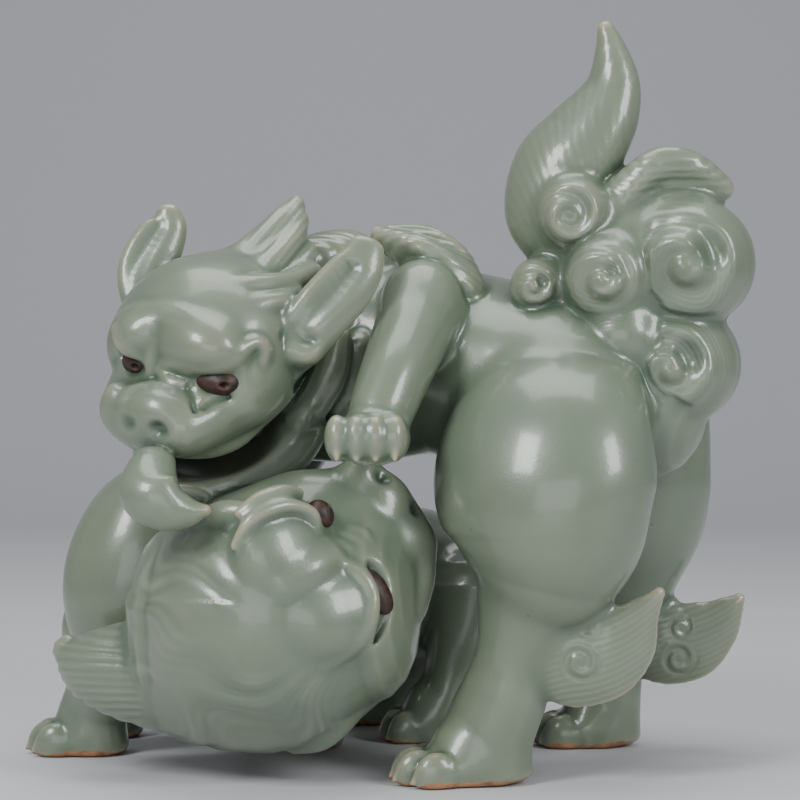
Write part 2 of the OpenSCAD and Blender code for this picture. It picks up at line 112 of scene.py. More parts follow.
def loft(path, ref=(0, 0, 1), b0=1.0, b1=1.0, fr=WORLD, sides=112, steps=18, lens=1.0):
    """Closed tube through stations [x, y, z, half width, half height]; lens > 1 sharpens its upper and lower edges."""
    P = smooth_path(path, steps)
    C = P[:, :3]
    T = np.array([unit(C[min(i + 1, len(C) - 1)] - C[max(i - 1, 0)]) for i in range(len(C))])
    ref = np.asarray(ref, float)
    th = np.linspace(0, 2 * math.pi, sides, endpoint=False)
    cs, sn = np.cos(th), np.sin(th)
    cs = np.sign(cs) * np.abs(cs) ** lens

    def ring(c, t, a, b):
        across = unit(np.cross(ref, t))
        over = np.cross(t, across)
        return c + a * cs[:, None] * across + b * sn[:, None] * over
    rings = []
    caps = [math.radians(w) for w in (72, 54, 36, 18)]
    a, b = P[0, 3], P[0, 4]
    for w in caps:
        rings.append(ring(C[0] - T[0] * b0 * min(a, b) * math.sin(w), T[0], a * math.cos(w), b * math.cos(w)))
    start = C[0] - T[0] * b0 * min(a, b)
    for i in range(len(C)):
        rings.append(ring(C[i], T[i], P[i, 3], P[i, 4]))
    a, b = P[-1, 3], P[-1, 4]
    for w in caps[::-1]:
        rings.append(ring(C[-1] + T[-1] * b1 * min(a, b) * math.sin(w), T[-1], a * math.cos(w), b * math.cos(w)))
    finish = C[-1] + T[-1] * b1 * min(a, b)
    m = len(rings)
    V = np.concatenate(rings + [start[None], finish[None]])
    V = place(fr, V)
    j = np.arange(sides)
    k = (j + 1) % sides
    Q = np.concatenate([np.stack([i * sides + j, (i + 1) * sides + j, (i + 1) * sides + k, i * sides + k], 1)
                        for i in range(m - 1)])
    tri = np.concatenate([np.stack([np.full(sides, m * sides), j, k], 1),
                          np.stack([np.full(sides, m * sides + 1), (m - 1) * sides + k, (m - 1) * sides + j], 1)])
    return V, Q, tri


XF = vdb.createLinearTransform(voxelSize=H)


def field_of(mesh):
    V, Q, tri = mesh
    g = vdb.FloatGrid.createLevelSetFromPolygons(points=V.astype(f32), triangles=tri.astype(np.uint32),
                                                 quads=Q.astype(np.uint32), transform=XF, halfWidth=BAND / H)
    lo = np.maximum(np.floor((V.min(0) - BAND) / H).astype(int), I0)
    hi = np.minimum(np.ceil((V.max(0) + BAND) / H).astype(int), I1)
    arr = np.empty(hi - lo + 1, f32)
    g.copyToArray(arr, ijk=tuple(int(v) for v in lo))
    return arr, lo


def box_of(fr, c, r):
    mid = place(fr, c)
    lo = np.maximum(np.floor((mid - r) / H).astype(int), I0)
    hi = np.minimum(np.ceil((mid + r) / H).astype(int), I1)
    return lo, hi


def local(fr, lo, hi):
    ax = [np.arange(lo[i], hi[i] + 1, dtype=f32) * H - f32(OFF[i] + fr[0][i]) for i in range(3)]
    X, Y, Z = np.meshgrid(*ax, indexing="ij")
    R = fr[1].astype(f32)
    return (X * R[0, 0] + Y * R[1, 0] + Z * R[2, 0], X * R[0, 1] + Y * R[1, 1] + Z * R[2, 1],
            X * R[0, 2] + Y * R[1, 2] + Z * R[2, 2])


def ellipsoid(p, c, r):
    x, y, z = (p[i] - f32(c[i]) for i in range(3))
    k0 = np.sqrt((x / r[0]) ** 2 + (y / r[1]) ** 2 + (z / r[2]) ** 2)
    k1 = np.sqrt((x / r[0] ** 2) ** 2 + (y / r[1] ** 2) ** 2 + (z / r[2] ** 2) ** 2)
    return (k0 * (k0 - 1) / np.maximum(k1, 1e-6)).astype(f32)


def stroke(p, pts, radii):
    """A chain of round cones through pts."""
    best = None
    for a, b, ra, rb in zip(pts[:-1], pts[1:], radii[:-1], radii[1:]):
        a, b = np.asarray(a, float), np.asarray(b, float)
        d = b - a
        q = [p[i] - f32(a[i]) for i in range(3)]
        t = np.clip((q[0] * d[0] + q[1] * d[1] + q[2] * d[2]) / max(d @ d, 1e-9), 0, 1)
        dist = np.sqrt((q[0] - t * d[0]) ** 2 + (q[1] - t * d[1]) ** 2 + (q[2] - t * d[2]) ** 2) - (ra + (rb - ra) * t)
        best = dist if best is None else np.minimum(best, dist)
    return best.astype(f32)


def soft_min(a, b, k):
    """The smaller of two fields, blended over k millimetres except where either one is out of its band."""
    h = np.maximum(k - np.abs(a - b), 0) / k
    h[(a >= BAND * 0.98) | (b >= BAND * 0.98)] = 0
    return np.minimum(a, b) - h * h * (k * 0.25)


def soft_max(a, b, k):
    h = np.maximum(k - np.abs(a - b), 0) / k
    return np.maximum(a, b) + h * h * (k * 0.25)


class Clay:
    """A field of distances with the node that owns each voxel."""

    def __init__(self):
        self.g = np.full(N, BAND, f32)
        self.own = np.zeros(N, np.uint8)
        self.best = np.full(N, 1e3, f32)

    def _at(self, arr, lo):
        i = lo - I0
        return tuple(slice(int(i[k]), int(i[k] + arr.shape[k])) for k in range(3))

    def add(self, node, arr, lo, k=0.0):
        s = self._at(arr, lo)
        self.g[s] = soft_min(self.g[s], arr, k) if k > 0 else np.minimum(self.g[s], arr)
        if node:
            up = arr < self.best[s]
            self.own[s][up] = ID[node]
            self.best[s][up] = arr[up]

    def cut(self, arr, lo, k):
        s = self._at(arr, lo)
        self.g[s] = soft_max(self.g[s], -arr, k)

    def loft(self, node, path, k=0.0, **kw):
        self.add(node, *field_of(loft(path, **kw)), k=k)

    def ball(self, node, c, r, k=2.0, fr=WORLD, cut=False):
        lo, hi = box_of(fr, c, max(r) + k + 3)
        arr = ellipsoid(local(fr, lo, hi), c, r)
        self.cut(arr, lo, k) if cut else self.add(node, arr, lo, k)

    def line(self, node, pts, radii, k=2.0, fr=WORLD, cut=False):
        P = np.asarray(pts, float)
        if len(P) > 2:
            S = smooth_path([list(q) + [w] for q, w in zip(P, radii)], 4)
            P, radii = S[:, :3], S[:, 3]
        mid = (P.min(0) + P.max(0)) / 2
        lo, hi = box_of(fr, mid, float(np.linalg.norm(P.max(0) - P.min(0)) / 2 + max(radii) + k + 3))
        arr = stroke(local(fr, lo, hi), P, radii)
        self.cut(arr, lo, k) if cut else self.add(node, arr, lo, k)

    def balls(self, node, fr, *rows, cut=False):
        for c, r, k in rows:
            self.ball(node, c, r, k, fr, cut)

    def lines(self, node, fr, *rows, cut=False):
        for pts, radii, k in rows:
            self.line(node, pts, radii, k, fr, cut)


A = Clay()      # the standing dog
B = Clay()      # the crouching dog
T = Clay()      # the standing dog's tail, which meets its rump at a sharp crease

# ---------------- stations, as in the CAD source
TRUNK = [[98, 2, 140, 22, 26], [82, 12, 147, 42, 40], [52, 28, 151, 46, 41], [20, 42, 160.5, 42, 38],
         [-14, 52, 162, 40, 43], [-42, 48, 166, 37, 45], [-60, 32, 168, 32, 41]]
SKULL = [[-60, 0, 2, 24, 24], [-42, 0, 4, 34, 31], [-22, 0, 4, 38, 33], [-5, 0, 2, 34, 27]]
SNOUT = [[-10, 0, -13, 31, 17], [6, 0, -14, 26, 15], [18, 0, -14, 21, 13]]
JAW = [[-46, 0, -34, 40, 14], [-30, 0, -41, 40, 12], [-14, 0, -46, 31, 9], [-2, 0, -49, 20, 6]]
TONGUE = [[-92, -40, 135, 8, 6], [-94, -50, 124, 10, 7], [-92.5, -56, 114.5, 11.5, 8], [-86, -58, 108.5, 9.5, 7.5],
          [-78, -57, 106.5, 6, 5.5], [-72, -56, 107, 2.5, 3]]
EAR_NEAR = [[-44, -18, 163, 7, 6], [-38, -23, 170, 9, 6], [-31, -24, 179, 9.5, 5.5], [-23, -22, 188, 9.5, 5],
            [-16, -19, 197.5, 8, 4.5], [-12.5, -16, 206, 5, 3.5]]
EAR_FAR = [[-99, 7, 178, 6.5, 5.5], [-102, 10, 187, 8, 6], [-101.5, 14, 197, 10, 6], [-96.5, 17, 207, 10.5, 5.5],
           [-92.5, 19, 215, 8, 4.5], [-92, 20, 220.5, 4.5, 3.5]]
CREST = [[-57, 3, 186, 18, 14], [-53, 8, 198, 14, 11], [-48, 13, 209, 9, 8], [-44, 17, 218, 5.5, 5.5],
         [-41.5, 20, 224.5, 2.5, 3]]
NAPE = [[-46, 28, 198, 12, 9], [-32, 36, 203, 14, 10], [-20, 40, 205, 13, 9], [-10, 42, 201, 9, 7]]
SHOULDER_LOCK = [[-9, 20, 212, 3, 3], [-2, 19, 208, 8, 6], [8, 17, 203, 10, 8], [18, 15, 197.5, 11, 8],
                 [26, 13, 191, 10, 7], [28, 11, 183, 5, 5]]
LOCK_FAR = [[-28, 70, 203, 4, 4], [-14, 80, 197, 10, 7], [0, 86, 188, 12, 8], [8, 88, 178, 10, 7], [9, 88, 168, 5, 5]]
FORELEG_NEAR = [[8, 14, 188, 13, 13], [7, 0, 179, 15.5, 15], [2, -13, 166, 14.5, 15], [-2.5, -24, 155, 13.5, 14],
                [-7, -33, 143, 12.5, 12]]
FORELEG_FAR = [[-22, 76, 174, 14, 14], [-26, 94, 160, 15, 15], [-34, 104, 140, 14, 14], [-44, 106, 122, 13, 13],
               [-52, 105, 110, 12, 12]]
HINDLEG_NEAR = [[64, -4, 150, 24, 34], [57, -18, 132, 30, 42], [55, -24, 113, 33, 44], [55.5, -26, 94, 31.5, 38.5],
                [53.5, -25, 79, 25, 30], [49.5, -23, 66, 18.5, 21.5], [44, -22, 48, 14.5, 15.5], [40, -21, 34, 15, 17],
                [34, -20, 18, 15, 18], [35, -20, 3, 14.5, 16.5]]
HINDLEG_FAR = [[96, 60, 150, 24, 32], [94, 57, 130, 28, 35], [92, 57, 111, 30, 37], [92, 58, 92, 29, 34],
               [91, 61, 72, 22, 25], [89, 65, 52, 15, 16], [88, 67, 34, 13, 14], [86, 68, 18, 13, 15],
               [87, 68, 3, 12.5, 14]]
TUFT_NEAR = [[50, -26, 50, 7, 14], [62, -31, 50.5, 7, 20], [75, -34, 52, 6, 19.5], [85, -34, 58, 5, 15],
             [92.5, -33, 67, 3.5, 7], [98.5, -32, 74.5, 2, 2.5]]
TUFT_FAR = [[96, 60, 46, 7, 14], [108, 56, 45, 7, 18], [120, 55, 46, 6, 17], [130, 55, 52, 5, 12],
            [137, 55, 59, 3.5, 6], [140.5, 55, 63, 2, 2.5]]
TAIL_CORE = [[82, 10, 172, 20, 20], [88, 10, 186, 26, 28], [94, 10, 204, 26, 30], [100, 10, 220, 18, 20]]
FLAME = [[66, 12, 204, 11, 13], [58.5, 12, 219, 14, 17.5], [63.5, 12, 236, 15, 20.5], [73, 12, 248.5, 14, 18.5],
         [80.5, 12, 260, 12, 15], [84, 12, 271, 9, 11], [83, 12, 284, 6, 6.5], [81, 12, 292, 3.5, 3.5]]
TOP_LOCK = [[84, 8, 222, 17, 9], [98, 8, 234, 18, 8], [114, 6, 236, 14, 7], [126, 5, 230, 7, 4.5]]
CURLS = [[68, 219, 14, 14], [54, 191, 11, 8], [80, 194, 16, 22], [113, 200, 25, 14], [86, 171, 16, 18],
         [108, 160, 24, 11]]
LOW_TRUNK = [[30, 104, 62, 26, 28], [6, 106, 64, 34, 33], [-30, 98, 66, 36, 34], [-66, 84, 70, 36, 36],
             [-92, 62, 78, 32, 38]]
LOW_SKULL = [[-34, 0, -26, 42, 28], [-14, 0, -19, 42, 24], [4, 0, -14, 38, 19], [20, 0, -12, 29, 16],
             [30, 0, -12, 25, 14]]
MANE = [[-86, -8, 62, 36, 36], [-70, -12, 62, 47, 46], [-50, -14, 64, 52, 50], [-30, -16, 66, 46, 46],
        [-14, -18, 68, 36, 38]]
MANE_LOW = [[-96, -4, 40, 22, 20], [-76, -6, 35, 34, 22], [-52, -6, 33, 38, 22], [-34, -8, 38, 30, 22],
            [-22, -8, 44, 20, 18]]
MANE_FOOT = [[-50, 22, 42, 26, 26], [-46, 50, 22, 18, 24], [-44, 66, 6, 12, 22]]
LOW_JAW = [[-6, 0, -38, 26, 10], [12, 0, -36, 22, 9], [24, 0, -34, 16, 7]]
LOW_EAR_UPPER = [[-74, -36, 99, 6, 4], [-66, -42, 103, 7, 5], [-57, -46, 105, 5, 4], [-50, -48, 104, 2.5, 2.5]]
LOW_EAR_LOWER = [[-18, -28, 42, 6, 5], [-22, -26, 30, 8, 6], [-31, -22, 19, 7, 6], [-40, -17, 13, 3, 3]]
CHEEK_LOCK = [[-84, -14, 41, 16, 22], [-97, -14, 41.5, 15, 21.5], [-108, -12, 42, 14, 19], [-119, -10, 44, 11.5, 15.5],
              [-126, -8, 47, 8, 11], [-130, -7, 49.5, 5, 6]]
LOW_FORELEG_NEAR = [[-90, 48, 106, 20, 18], [-101, 42, 94, 26, 25], [-109, 37, 78, 25, 27], [-112, 37, 58, 24, 25],
                    [-117, 42, 38, 16, 17], [-125, 46, 18, 13, 14], [-124, 46, 3, 12.5, 13]]
LOW_FORELEG_FAR = [[-92, 92, 84, 18, 20], [-116, 96, 66, 17, 18], [-130, 92, 46, 14, 15], [-124, 92, 20, 12, 13],
                   [-122, 92, 3, 12, 12.5]]
LOW_HINDLEG_NEAR = [[28, 84, 62, 18, 24], [26, 80, 46, 14, 17], [22, 79, 30, 11, 12], [18, 78, 15, 11, 11],
                    [18, 78, 3, 10.5, 11]]
LOW_HINDLEG_FAR = [[14, 126, 62, 20, 26], [2, 130, 44, 24, 30], [-6, 131, 26, 22, 26], [-8, 131, 12, 16, 18],
                   [-7, 131, 3, 14, 16]]
LOW_TAIL = [[34, 116, 72, 10, 12], [44, 128, 80, 13, 15], [52, 136, 96, 12, 14], [50, 138, 112, 8, 9],
            [44, 138, 122, 3, 4]]
FORWARD = (-0.89, 0.45, 0.0)
PAW_H = 21.0


def paw(clay, node, c, turn, l, w, k=4.0):
    """A flat-bottomed paw that points along -X turned by turn, with four toes, their grooves and claws."""
    fr = (np.array([c[0], c[1], 0.0]), rot("z", turn))
    clay.loft(node, [[l * 0.34, 0, PAW_H * 0.30, w * 0.8, PAW_H * 0.62], [0, 0, PAW_H * 0.36, w * 0.92, PAW_H * 0.68],
                     [-l * 0.42, 0, PAW_H * 0.22, w * 0.90, PAW_H * 0.52]], k=k, fr=fr, b0=0.5)
    clay.ball(node, (-l * 0.05, 0, PAW_H * 0.70), (l * 0.52, w * 0.66, PAW_H * 0.50), k=5, fr=fr)
    for i in range(4):
        u = (i - 1.5) / 1.5
        y = u * w * 0.70
        x = -l * 0.62 - (1 - u * u) * l * 0.26
        clay.ball(node, (x, y, PAW_H * 0.22), (w * 0.50, w * 0.28, PAW_H * 0.44), k=1.4, fr=fr)
        clay.line(node, [(x - w * 0.36, y, PAW_H * 0.34), (x - w * 0.55, y, PAW_H * 0.10)], [2.0, 1.1], k=1.0, fr=fr)


# ---------------- standing dog
A.loft("standing_trunk_near", TRUNK, b1=0.6)
A.loft("standing_hindleg_near", HINDLEG_NEAR, k=5, ref=FORWARD, b1=0.3)
A.loft("standing_hindleg_far", HINDLEG_FAR, k=10, ref=FORWARD, b1=0.3)
A.loft("standing_foreleg_far", FORELEG_FAR, k=7, ref=FORWARD)
A.loft("standing_foreleg_near", FORELEG_NEAR, k=6, ref=(0, 1, 0.3))
# shoulder muscle
A.ball("standing_foreleg_near", (9, 4, 184), (15, 14, 17), k=6)
paw(A, "standing_hindpaw_near", (27, -21), 10, 25, 17)
paw(A, "standing_hindpaw_far", (80, 68), -8, 18, 17)

# head: skull, snout, brows, cheeks
A.loft("standing_head", SKULL, k=7, b1=0.5, fr=HEAD)
A.loft("standing_head", SNOUT, k=6, b1=0.7, fr=HEAD)
A.balls("standing_head", HEAD, ((1, 14, 14), (11, 15, 10), 6), ((3, -13, 14), (9, 9, 8), 6))
A.lines("standing_head", HEAD,
        ([(8, 1, 6), (7.5, 8, 7.4), (6.6, 15, 7.8), (4.5, 22, 8.6), (0, 27.5, 11.5), (-5, 30, 15),
          (-9, 32, 15.5), (-10.8, 34, 12.5), (-9.6, 34.2, 9.6)], [2.2, 3.2, 3.6, 3.4, 3.0, 2.6, 2.6, 2.4, 1.9], 2.6),
        ([(7.5, -9, 6), (9.2, -13, 8.6), (10, -17, 12), (7, -21, 15)], [2.4, 3.0, 3.0, 2.4], 2.6),
        ([(9.5, -4, 2), (8.6, -4.2, 8), (5, -3, 15)], [1.9, 1.9, 1.6], 2.6),
        ([(9.5, 0, 3.5), (11.5, 6, 1.6), (11, 12, 1.2)], [1.6, 1.9, 1.4], 2.2))
# cheeks and muzzle lobes
A.balls("standing_head", HEAD, ((0, 19, -11), (12, 11, 11), 8), ((-12, 31, -6), (14, 7.5, 11), 8),
        ((14, 16, -15), (11, 9, 9), 8), ((18.5, -13.5, -11), (6.5, 6.5, 9.5), 2.4), ((4, -18, -10), (10, 7, 9), 6))
A.lines("standing_head", HEAD,
        ([(20, 2, -20), (8, 16, -25.5), (-5, 24, -25), (-15, 29, -18), (-26, 33, -12)], [3.6, 4.0, 3.8, 3.4, 2.8], 4),
        ([(20, 2, -20), (12, -12, -22), (0, -21, -22)], [3.4, 3.6, 3.2], 4))
# nose pad: a smooth dome with a raised arch, set off from the lobes by a crease, two shallow nostrils
A.ball("standing_head", (15.5, 5, -9), (11, 12.5, 9.5), k=2.6, fr=HEAD)
A.lines("standing_head", HEAD,
        ([(22.5, -7, -6.5), (19, -6, -3.6), (15.5, -1.8, -2.2), (13.8, 6, -2.2), (14.8, 13.4, -4.6), (17.6, 17.3, -8.8),
          (20, 16.5, -13)], [1.6, 2.2, 2.3, 2.2, 2.0, 1.8, 1.4], 2.6))
A.lines(None, HEAD, ([(11, 14.5, 0.5), (13.5, 18.5, -2.6), (16, 20, -7)], [0.9, 1.3, 0.9], 2.4),
        ([(13, 22, -6), (9, 24.5, -3.5), (3, 28, -3)], [0.7, 1.1, 0.7], 2.4), cut=True)
A.balls(None, HEAD, ((27.6, 11, -12), (3.6, 3.8, 2.8), 3), ((28.6, -3.0, -12), (3.4, 3.4, 2.8), 3), cut=True)

# jaw, lips, mouth cavity and tongue
LIP = ((3, 4, -46.5), (-0.4, 11, -46), (-8, 19.6, -44.2), (-14.8, 24.4, -41.4), (-20.5, 27.6, -39),
       (-27.9, 29.7, -35.3), (-38, 32.4, -31))
CAVITY = [[-36, 0, -23.5, 34, 4.5], [-22, 0, -31, 34, 6.5], [-10, 0, -35.5, 29, 7.5], [4, 0, -36, 21, 7.5],
          [14, 0, -36, 13, 6.5]]
A.loft("standing_jaw", JAW, k=5, fr=HEAD)
for side in (1, -1):
    A.line("standing_jaw", [(x, y * side, z) for x, y, z in LIP], [2.2, 2.4, 2.5, 2.5, 2.5, 2.4, 2.0], k=3, fr=HEAD)
MOUTH, MOUTH_AT = field_of(loft(CAVITY, fr=HEAD, b0=0.6))
A.cut(MOUTH, MOUTH_AT, k=1.6)

A.loft("standing_tongue", [[-92, -46, 124.5, 8.5, 6]] + TONGUE[2:], k=1.6, ref=(0, -1, 0))

# ears: a plump leaf with a shallow hollow that faces forward; the near one curls over at its root
for node, path, out, wide, deep in (("standing_ear_near", EAR_NEAR, (-0.35, -0.92, 0.1), 2.0, 1.3),
                                    ("standing_ear_far", EAR_FAR, (-0.4, -0.9, 0.1), 0.3, 0.5)):
    A.loft(node, [s_[:3] + [s_[3] + wide, s_[4]] for s_ in path], k=4, ref=(0, 1, 0))
    o = unit(out)
    pts = [np.array(s_[:3]) + o * (s_[4] + r_ - deep) for s_, r_ in zip(path[1:5], (4, 6.5, 6.5, 4))]
    A.line(None, pts, [4, 6.5, 6.5, 4], k=3.0, cut=True)
A.line("standing_ear_near", [(-43, -23, 174), (-41.5, -25, 168), (-38, -26.5, 164.5), (-34.2, -26.5, 164.5),
                             (-32.2, -26, 167)], [3.4, 4.0, 4.2, 3.8, 2.6], k=3.4)
A.ball(None, (-34.5, -31.5, 170), (3.6, 3.6, 2.2), k=3, cut=True)

# crest: a tall fin of one peaked lock, a lower fold before it, and locks that sweep back over the skull
A.loft("standing_crest", CREST, k=6, ref=(0, 1, 0))
A.lines("standing_crest", WORLD,
        ([(-82, -10, 191), (-73, -6, 194.5), (-63, 1, 199.5), (-54, 7, 208), (-46, 12.5, 217), (-41, 17, 223)],
         [6, 6.5, 6.5, 6, 4.6, 2.6], 5),
        ([(-60, -10, 190), (-50, -2, 199), (-43, 7, 208), (-39.5, 14, 217)], [6, 6.5, 5.6, 3.6], 3),
        ([(-48, -9, 187), (-40, 0, 195), (-36.5, 12, 205)], [5.5, 5.5, 4.0], 2.4))
A.lines("standing_head", WORLD,
        ([(-68, -27, 188), (-60, -25, 190), (-51, -20, 190.5), (-42, -11, 192), (-34, 0, 196)],
         [2.4, 4.2, 4.8, 4.6, 4.0], 2.4),
        ([(-60, -31, 182), (-53, -28, 183.5), (-46, -23, 184.5), (-40, -15, 187)], [1.8, 3.6, 4.2, 3.6], 2.4))
# folds of the neck's mane below the ear
A.lines("standing_nape_mane", WORLD,
        ([(-24, 4, 172), (-27, 6, 158), (-33, 8, 146), (-40, 4, 137)], [5, 7, 7, 5], 3),
        ([(-16, 12, 168), (-18, 15, 154), (-24, 17, 142)], [5, 6.5, 5], 3))
A.loft("standing_nape_mane", NAPE, k=5)
A.loft("standing_shoulder_lock_near", SHOULDER_LOCK, k=2.5, lens=1.2)
A.loft("standing_shoulder_lock_far", LOCK_FAR, k=3, ref=(0.4, 1, 0.3), lens=1.2)
A.lines("standing_shoulder_lock_near", WORLD,
        ([(-8, 18, 211), (6, 9, 207), (18, 8, 200), (27, 7, 190)], [3, 4.2, 4.2, 2.5], 1.8),
        ([(-4, 24, 213), (10, 22, 211), (23, 19, 203), (31, 16, 192)], [3, 4.5, 4.5, 2.5], 1.8))

# raised near forepaw, with toes hanging over its front edge
A.ball("standing_forepaw_near", (-11, -42, 133), (15, 12, 10.5), k=5)
for i in range(4):
    x = -23.5 + i * 7.2
    A.ball("standing_forepaw_near", (x, -48.0 - (1.5 if i in (1, 2) else 0), 133.4), (4.8, 6.6, 8.8), k=2.6)
    A.line("standing_forepaw_near", [(x, -52.5, 129), (x, -53.5, 125.5)], [1.8, 1.1], k=1.2)
A.ball("standing_forepaw_far", (-60, 106, 100), (16, 13, 10), k=4)
for i in range(4):
    A.ball("standing_forepaw_far", (-68 - 2 * (i in (1, 2)), 96.5 + i * 6.4, 97), (6.5, 4.2, 7.5), k=1.4)

# tail: core, flame, top lock, curls
T.loft("tail_core", TAIL_CORE, ref=FORWARD, b1=0.5)
T.loft("tail_flame", FLAME, k=2, ref=FORWARD)
T.loft("tail_top_lock", TOP_LOCK, k=3)
T.line("tail_top_lock", [(86, -2, 229), (100, -4, 239), (114, -3, 238), (127, 1, 228)], [5, 5.5, 4.8, 3], k=3)
T.ball("tail_top_lock", (108, 4, 221), (17, 12, 13), k=6)
T.ball("tail_core", (93, 10, 192), (34, 27, 39), k=5)
for side in (1, -1):
    node = "tail_curls_near" if side == 1 else "tail_curls_far"
    for cx, cz, r, out in CURLS:
        c = (cx + 2 * (1 - side), 10 - side * out, cz)
        T.ball(node, c, (r, r * 0.92, r), k=5)
    # hollows beside the eyes of the curls
    for i, (cx, cz, r, out) in enumerate(CURLS):
        if i == 0:
            T.ball(None, (66, 10 - side * 29.5, 221), (8, 6, 8.5), k=5, cut=True)
        elif i != 4:
            c = (cx + 2 * (1 - side) + 0.20 * r, 10 - side * (out + 0.92 * r * 0.97), cz + 0.20 * r)
            T.ball(None, c, (0.27 * r, 0.11 * r + 0.8, 0.23 * r), k=0.16 * r + 1, cut=True)

# hock tufts, thin at the edge
A.loft("hock_tuft_near", TUFT_NEAR, k=4, lens=1.35)
A.loft("hock_tuft_far", TUFT_FAR, k=4, lens=1.35)

# ---------------- crouching dog
B.loft("crouching_trunk_near", LOW_TRUNK, b1=0.6)
B.loft("crouching_mane", MANE, k=6, b0=0.5, b1=0.6)
B.loft("crouching_mane", MANE_LOW, k=8, b0=0.6, b1=0.6)
B.loft("crouching_mane", MANE_FOOT, k=8, ref=FORWARD)
B.loft("crouching_foreleg_near", LOW_FORELEG_NEAR, k=3, ref=FORWARD, b1=0.5)
B.loft("crouching_foreleg_far", LOW_FORELEG_FAR, k=5, ref=FORWARD, b1=0.5)
B.loft("crouching_hindleg_near", LOW_HINDLEG_NEAR, k=5, ref=FORWARD, b1=0.5)
B.loft("crouching_hindleg_far", LOW_HINDLEG_FAR, k=6, ref=FORWARD, b1=0.4)
B.loft("crouching_tail", LOW_TAIL, k=4, ref=FORWARD, lens=1.2)
paw(B, "crouching_forepaw_near", (-129, 48), -4, 17.5, 16)
paw(B, "crouching_forepaw_far", (-124, 92), -4, 19, 15)
paw(B, "crouching_hindpaw_near", (13, 78), -4, 17, 13)
paw(B, "crouching_hindpaw_far", (-12, 131), -4, 22, 17)
B.loft("crouching_cheek_lock", CHEEK_LOCK, k=3, lens=1.15)
B.loft("crouching_head", LOW_SKULL, k=5, b1=0.5, fr=LOWHEAD)
B.loft("crouching_jaw", LOW_JAW, k=4, fr=LOWHEAD)
# brows: thin shelves at the edge of the forehead, and a fold behind the upper one
B.ball("crouching_brows", (-26, 19, 4.2), (17, 15, 7.5), k=9, fr=LOWHEAD)
B.lines("crouching_brows", LOWHEAD,
        ([(-42, 28, 2.5), (-37, 31.2, 7.6), (-29.3, 31.5, 10.8), (-19.5, 28.5, 11.9), (-13.4, 23.5, 11.4),
          (-11.2, 19, 10.4), (-11.6, 15.5, 8.6)], [1.4, 2.0, 2.3, 2.4, 2.4, 2.3, 1.6], 3.0),
        ([(-34, 37, 6), (-25, 36.6, 8.6), (-15, 33.6, 8.8), (-8, 29.5, 6.6)], [1.6, 2.8, 2.8, 1.6], 6))
B.ball("crouching_brows", (-24, -15, 2.4), (15.5, 14, 8.2), k=9, fr=LOWHEAD)
B.lines("crouching_brows", LOWHEAD,
        ([(-12.6, -1, 7.6), (-10.8, -7, 10.4), (-10.4, -13, 11.6), (-12, -18.3, 11.4), (-15.6, -22.6, 10.4),
          (-19.4, -25.4, 8.4), (-24, -27.4, 5.4), (-30, -28, 1), (-38, -27, -2.5)],
         [1.5, 2.2, 2.4, 2.4, 2.4, 2.4, 2.3, 2.1, 1.5], 3.0))
# muzzle: nostril wings, the pad between them, the upper lip's rim and the wrinkles across the bridge
B.balls("crouching_head", LOWHEAD, ((25, 20, -4), (9, 8, 7), 5), ((27, 7, -1), (9, 10, 6), 4),
        ((26, -12, -3), (9, 9, 7), 5))
B.lines("crouching_head", LOWHEAD,
        ([(12, -33, -8), (22, -24, -5), (31, -10, -5), (33, 5, -6), (29, 18, -8)], [5, 5.5, 5, 5, 4.5], 4))
B.balls(None, LOWHEAD, ((33, -3, 3), (3.0, 2.6, 2.6), 2.4), ((28, 15, 3.5), (2.8, 2.6, 2.4), 2.2), cut=True)
for x, y, r in ((-0.5, 7, 1.7), (4, 6.5, 1.6), (-6, 8, 2.0)):
    pts = [(x - 3, y, 4.6), (x, 2, 6.2), (x - 2, -y * 0.8, 6.4)]
    B.line("crouching_head", pts, [r * 0.6, r, r * 0.6], k=2.0, fr=LOWHEAD)
B.line("crouching_mane", [(-14, 3, 7.6), (-24, 4, 8.2), (-36, 5, 5)], [2.8, 3.2, 2.0], k=7, fr=LOWHEAD)
# sockets under the overhanging brows
B.ball(None, (-3.5, 17.5, 10), (5.2, 6.2, 3.6), k=1.6, fr=LOWHEAD, cut=True)
B.lines(None, LOWHEAD, ([(-4, -9, 11), (-3.6, -15, 12), (-6.5, -21, 11.5), (-12, -27, 9), (-19, -31, 4)],
                        [2.2, 3.6, 3.4, 2.8, 1.8], 1.6), cut=True)
B.loft("crouching_ear_upper", LOW_EAR_UPPER, k=3, ref=(0, 1, 0))
B.loft("crouching_ear_lower", LOW_EAR_LOWER, k=3, ref=(0, 1, 0))

# sockets of the standing dog, cut after its brows so that the brow overhangs
A.lines(None, HEAD, ([(10.4, 16.5, 3.6), (9, 22, 2.2), (5, 28.5, 4)], [2.2, 4.0, 2.6], 1.2),
        ([(9.8, -9.5, 3.2), (9.5, -13, 2.6), (6, -20, 4.5)], [1.8, 3.6, 2.8], 1.2), cut=True)

# ---------------- join, flatten on the table, soften
# each trunk is two half shells, parted on a plane through (cx, cy) at an angle to the X axis
for C, dog, cx, cy, turn in ((A, "standing", 52, 28, -24), (B, "crouching", -30, 96, -15)):
    xs = (np.arange(I0[0], I1[0] + 1) * H - OFF[0] - cx)[:, None]
    ys = (np.arange(I0[1], I1[1] + 1) * H - OFF[1] - cy)[None, :]
    t = math.radians(turn)
    behind = (-math.sin(t) * xs + math.cos(t) * ys) > 0
    C.own[(C.own == ID[dog + "_trunk_near"]) & behind[:, :, None]] = ID[dog + "_trunk_far"]

A.own = np.where(A.g <= T.g, A.own, T.own)
A.g = soft_min(A.g, T.g, JOIN_TAIL)
del T
OWN = np.where(A.g <= B.g, A.own, B.own)
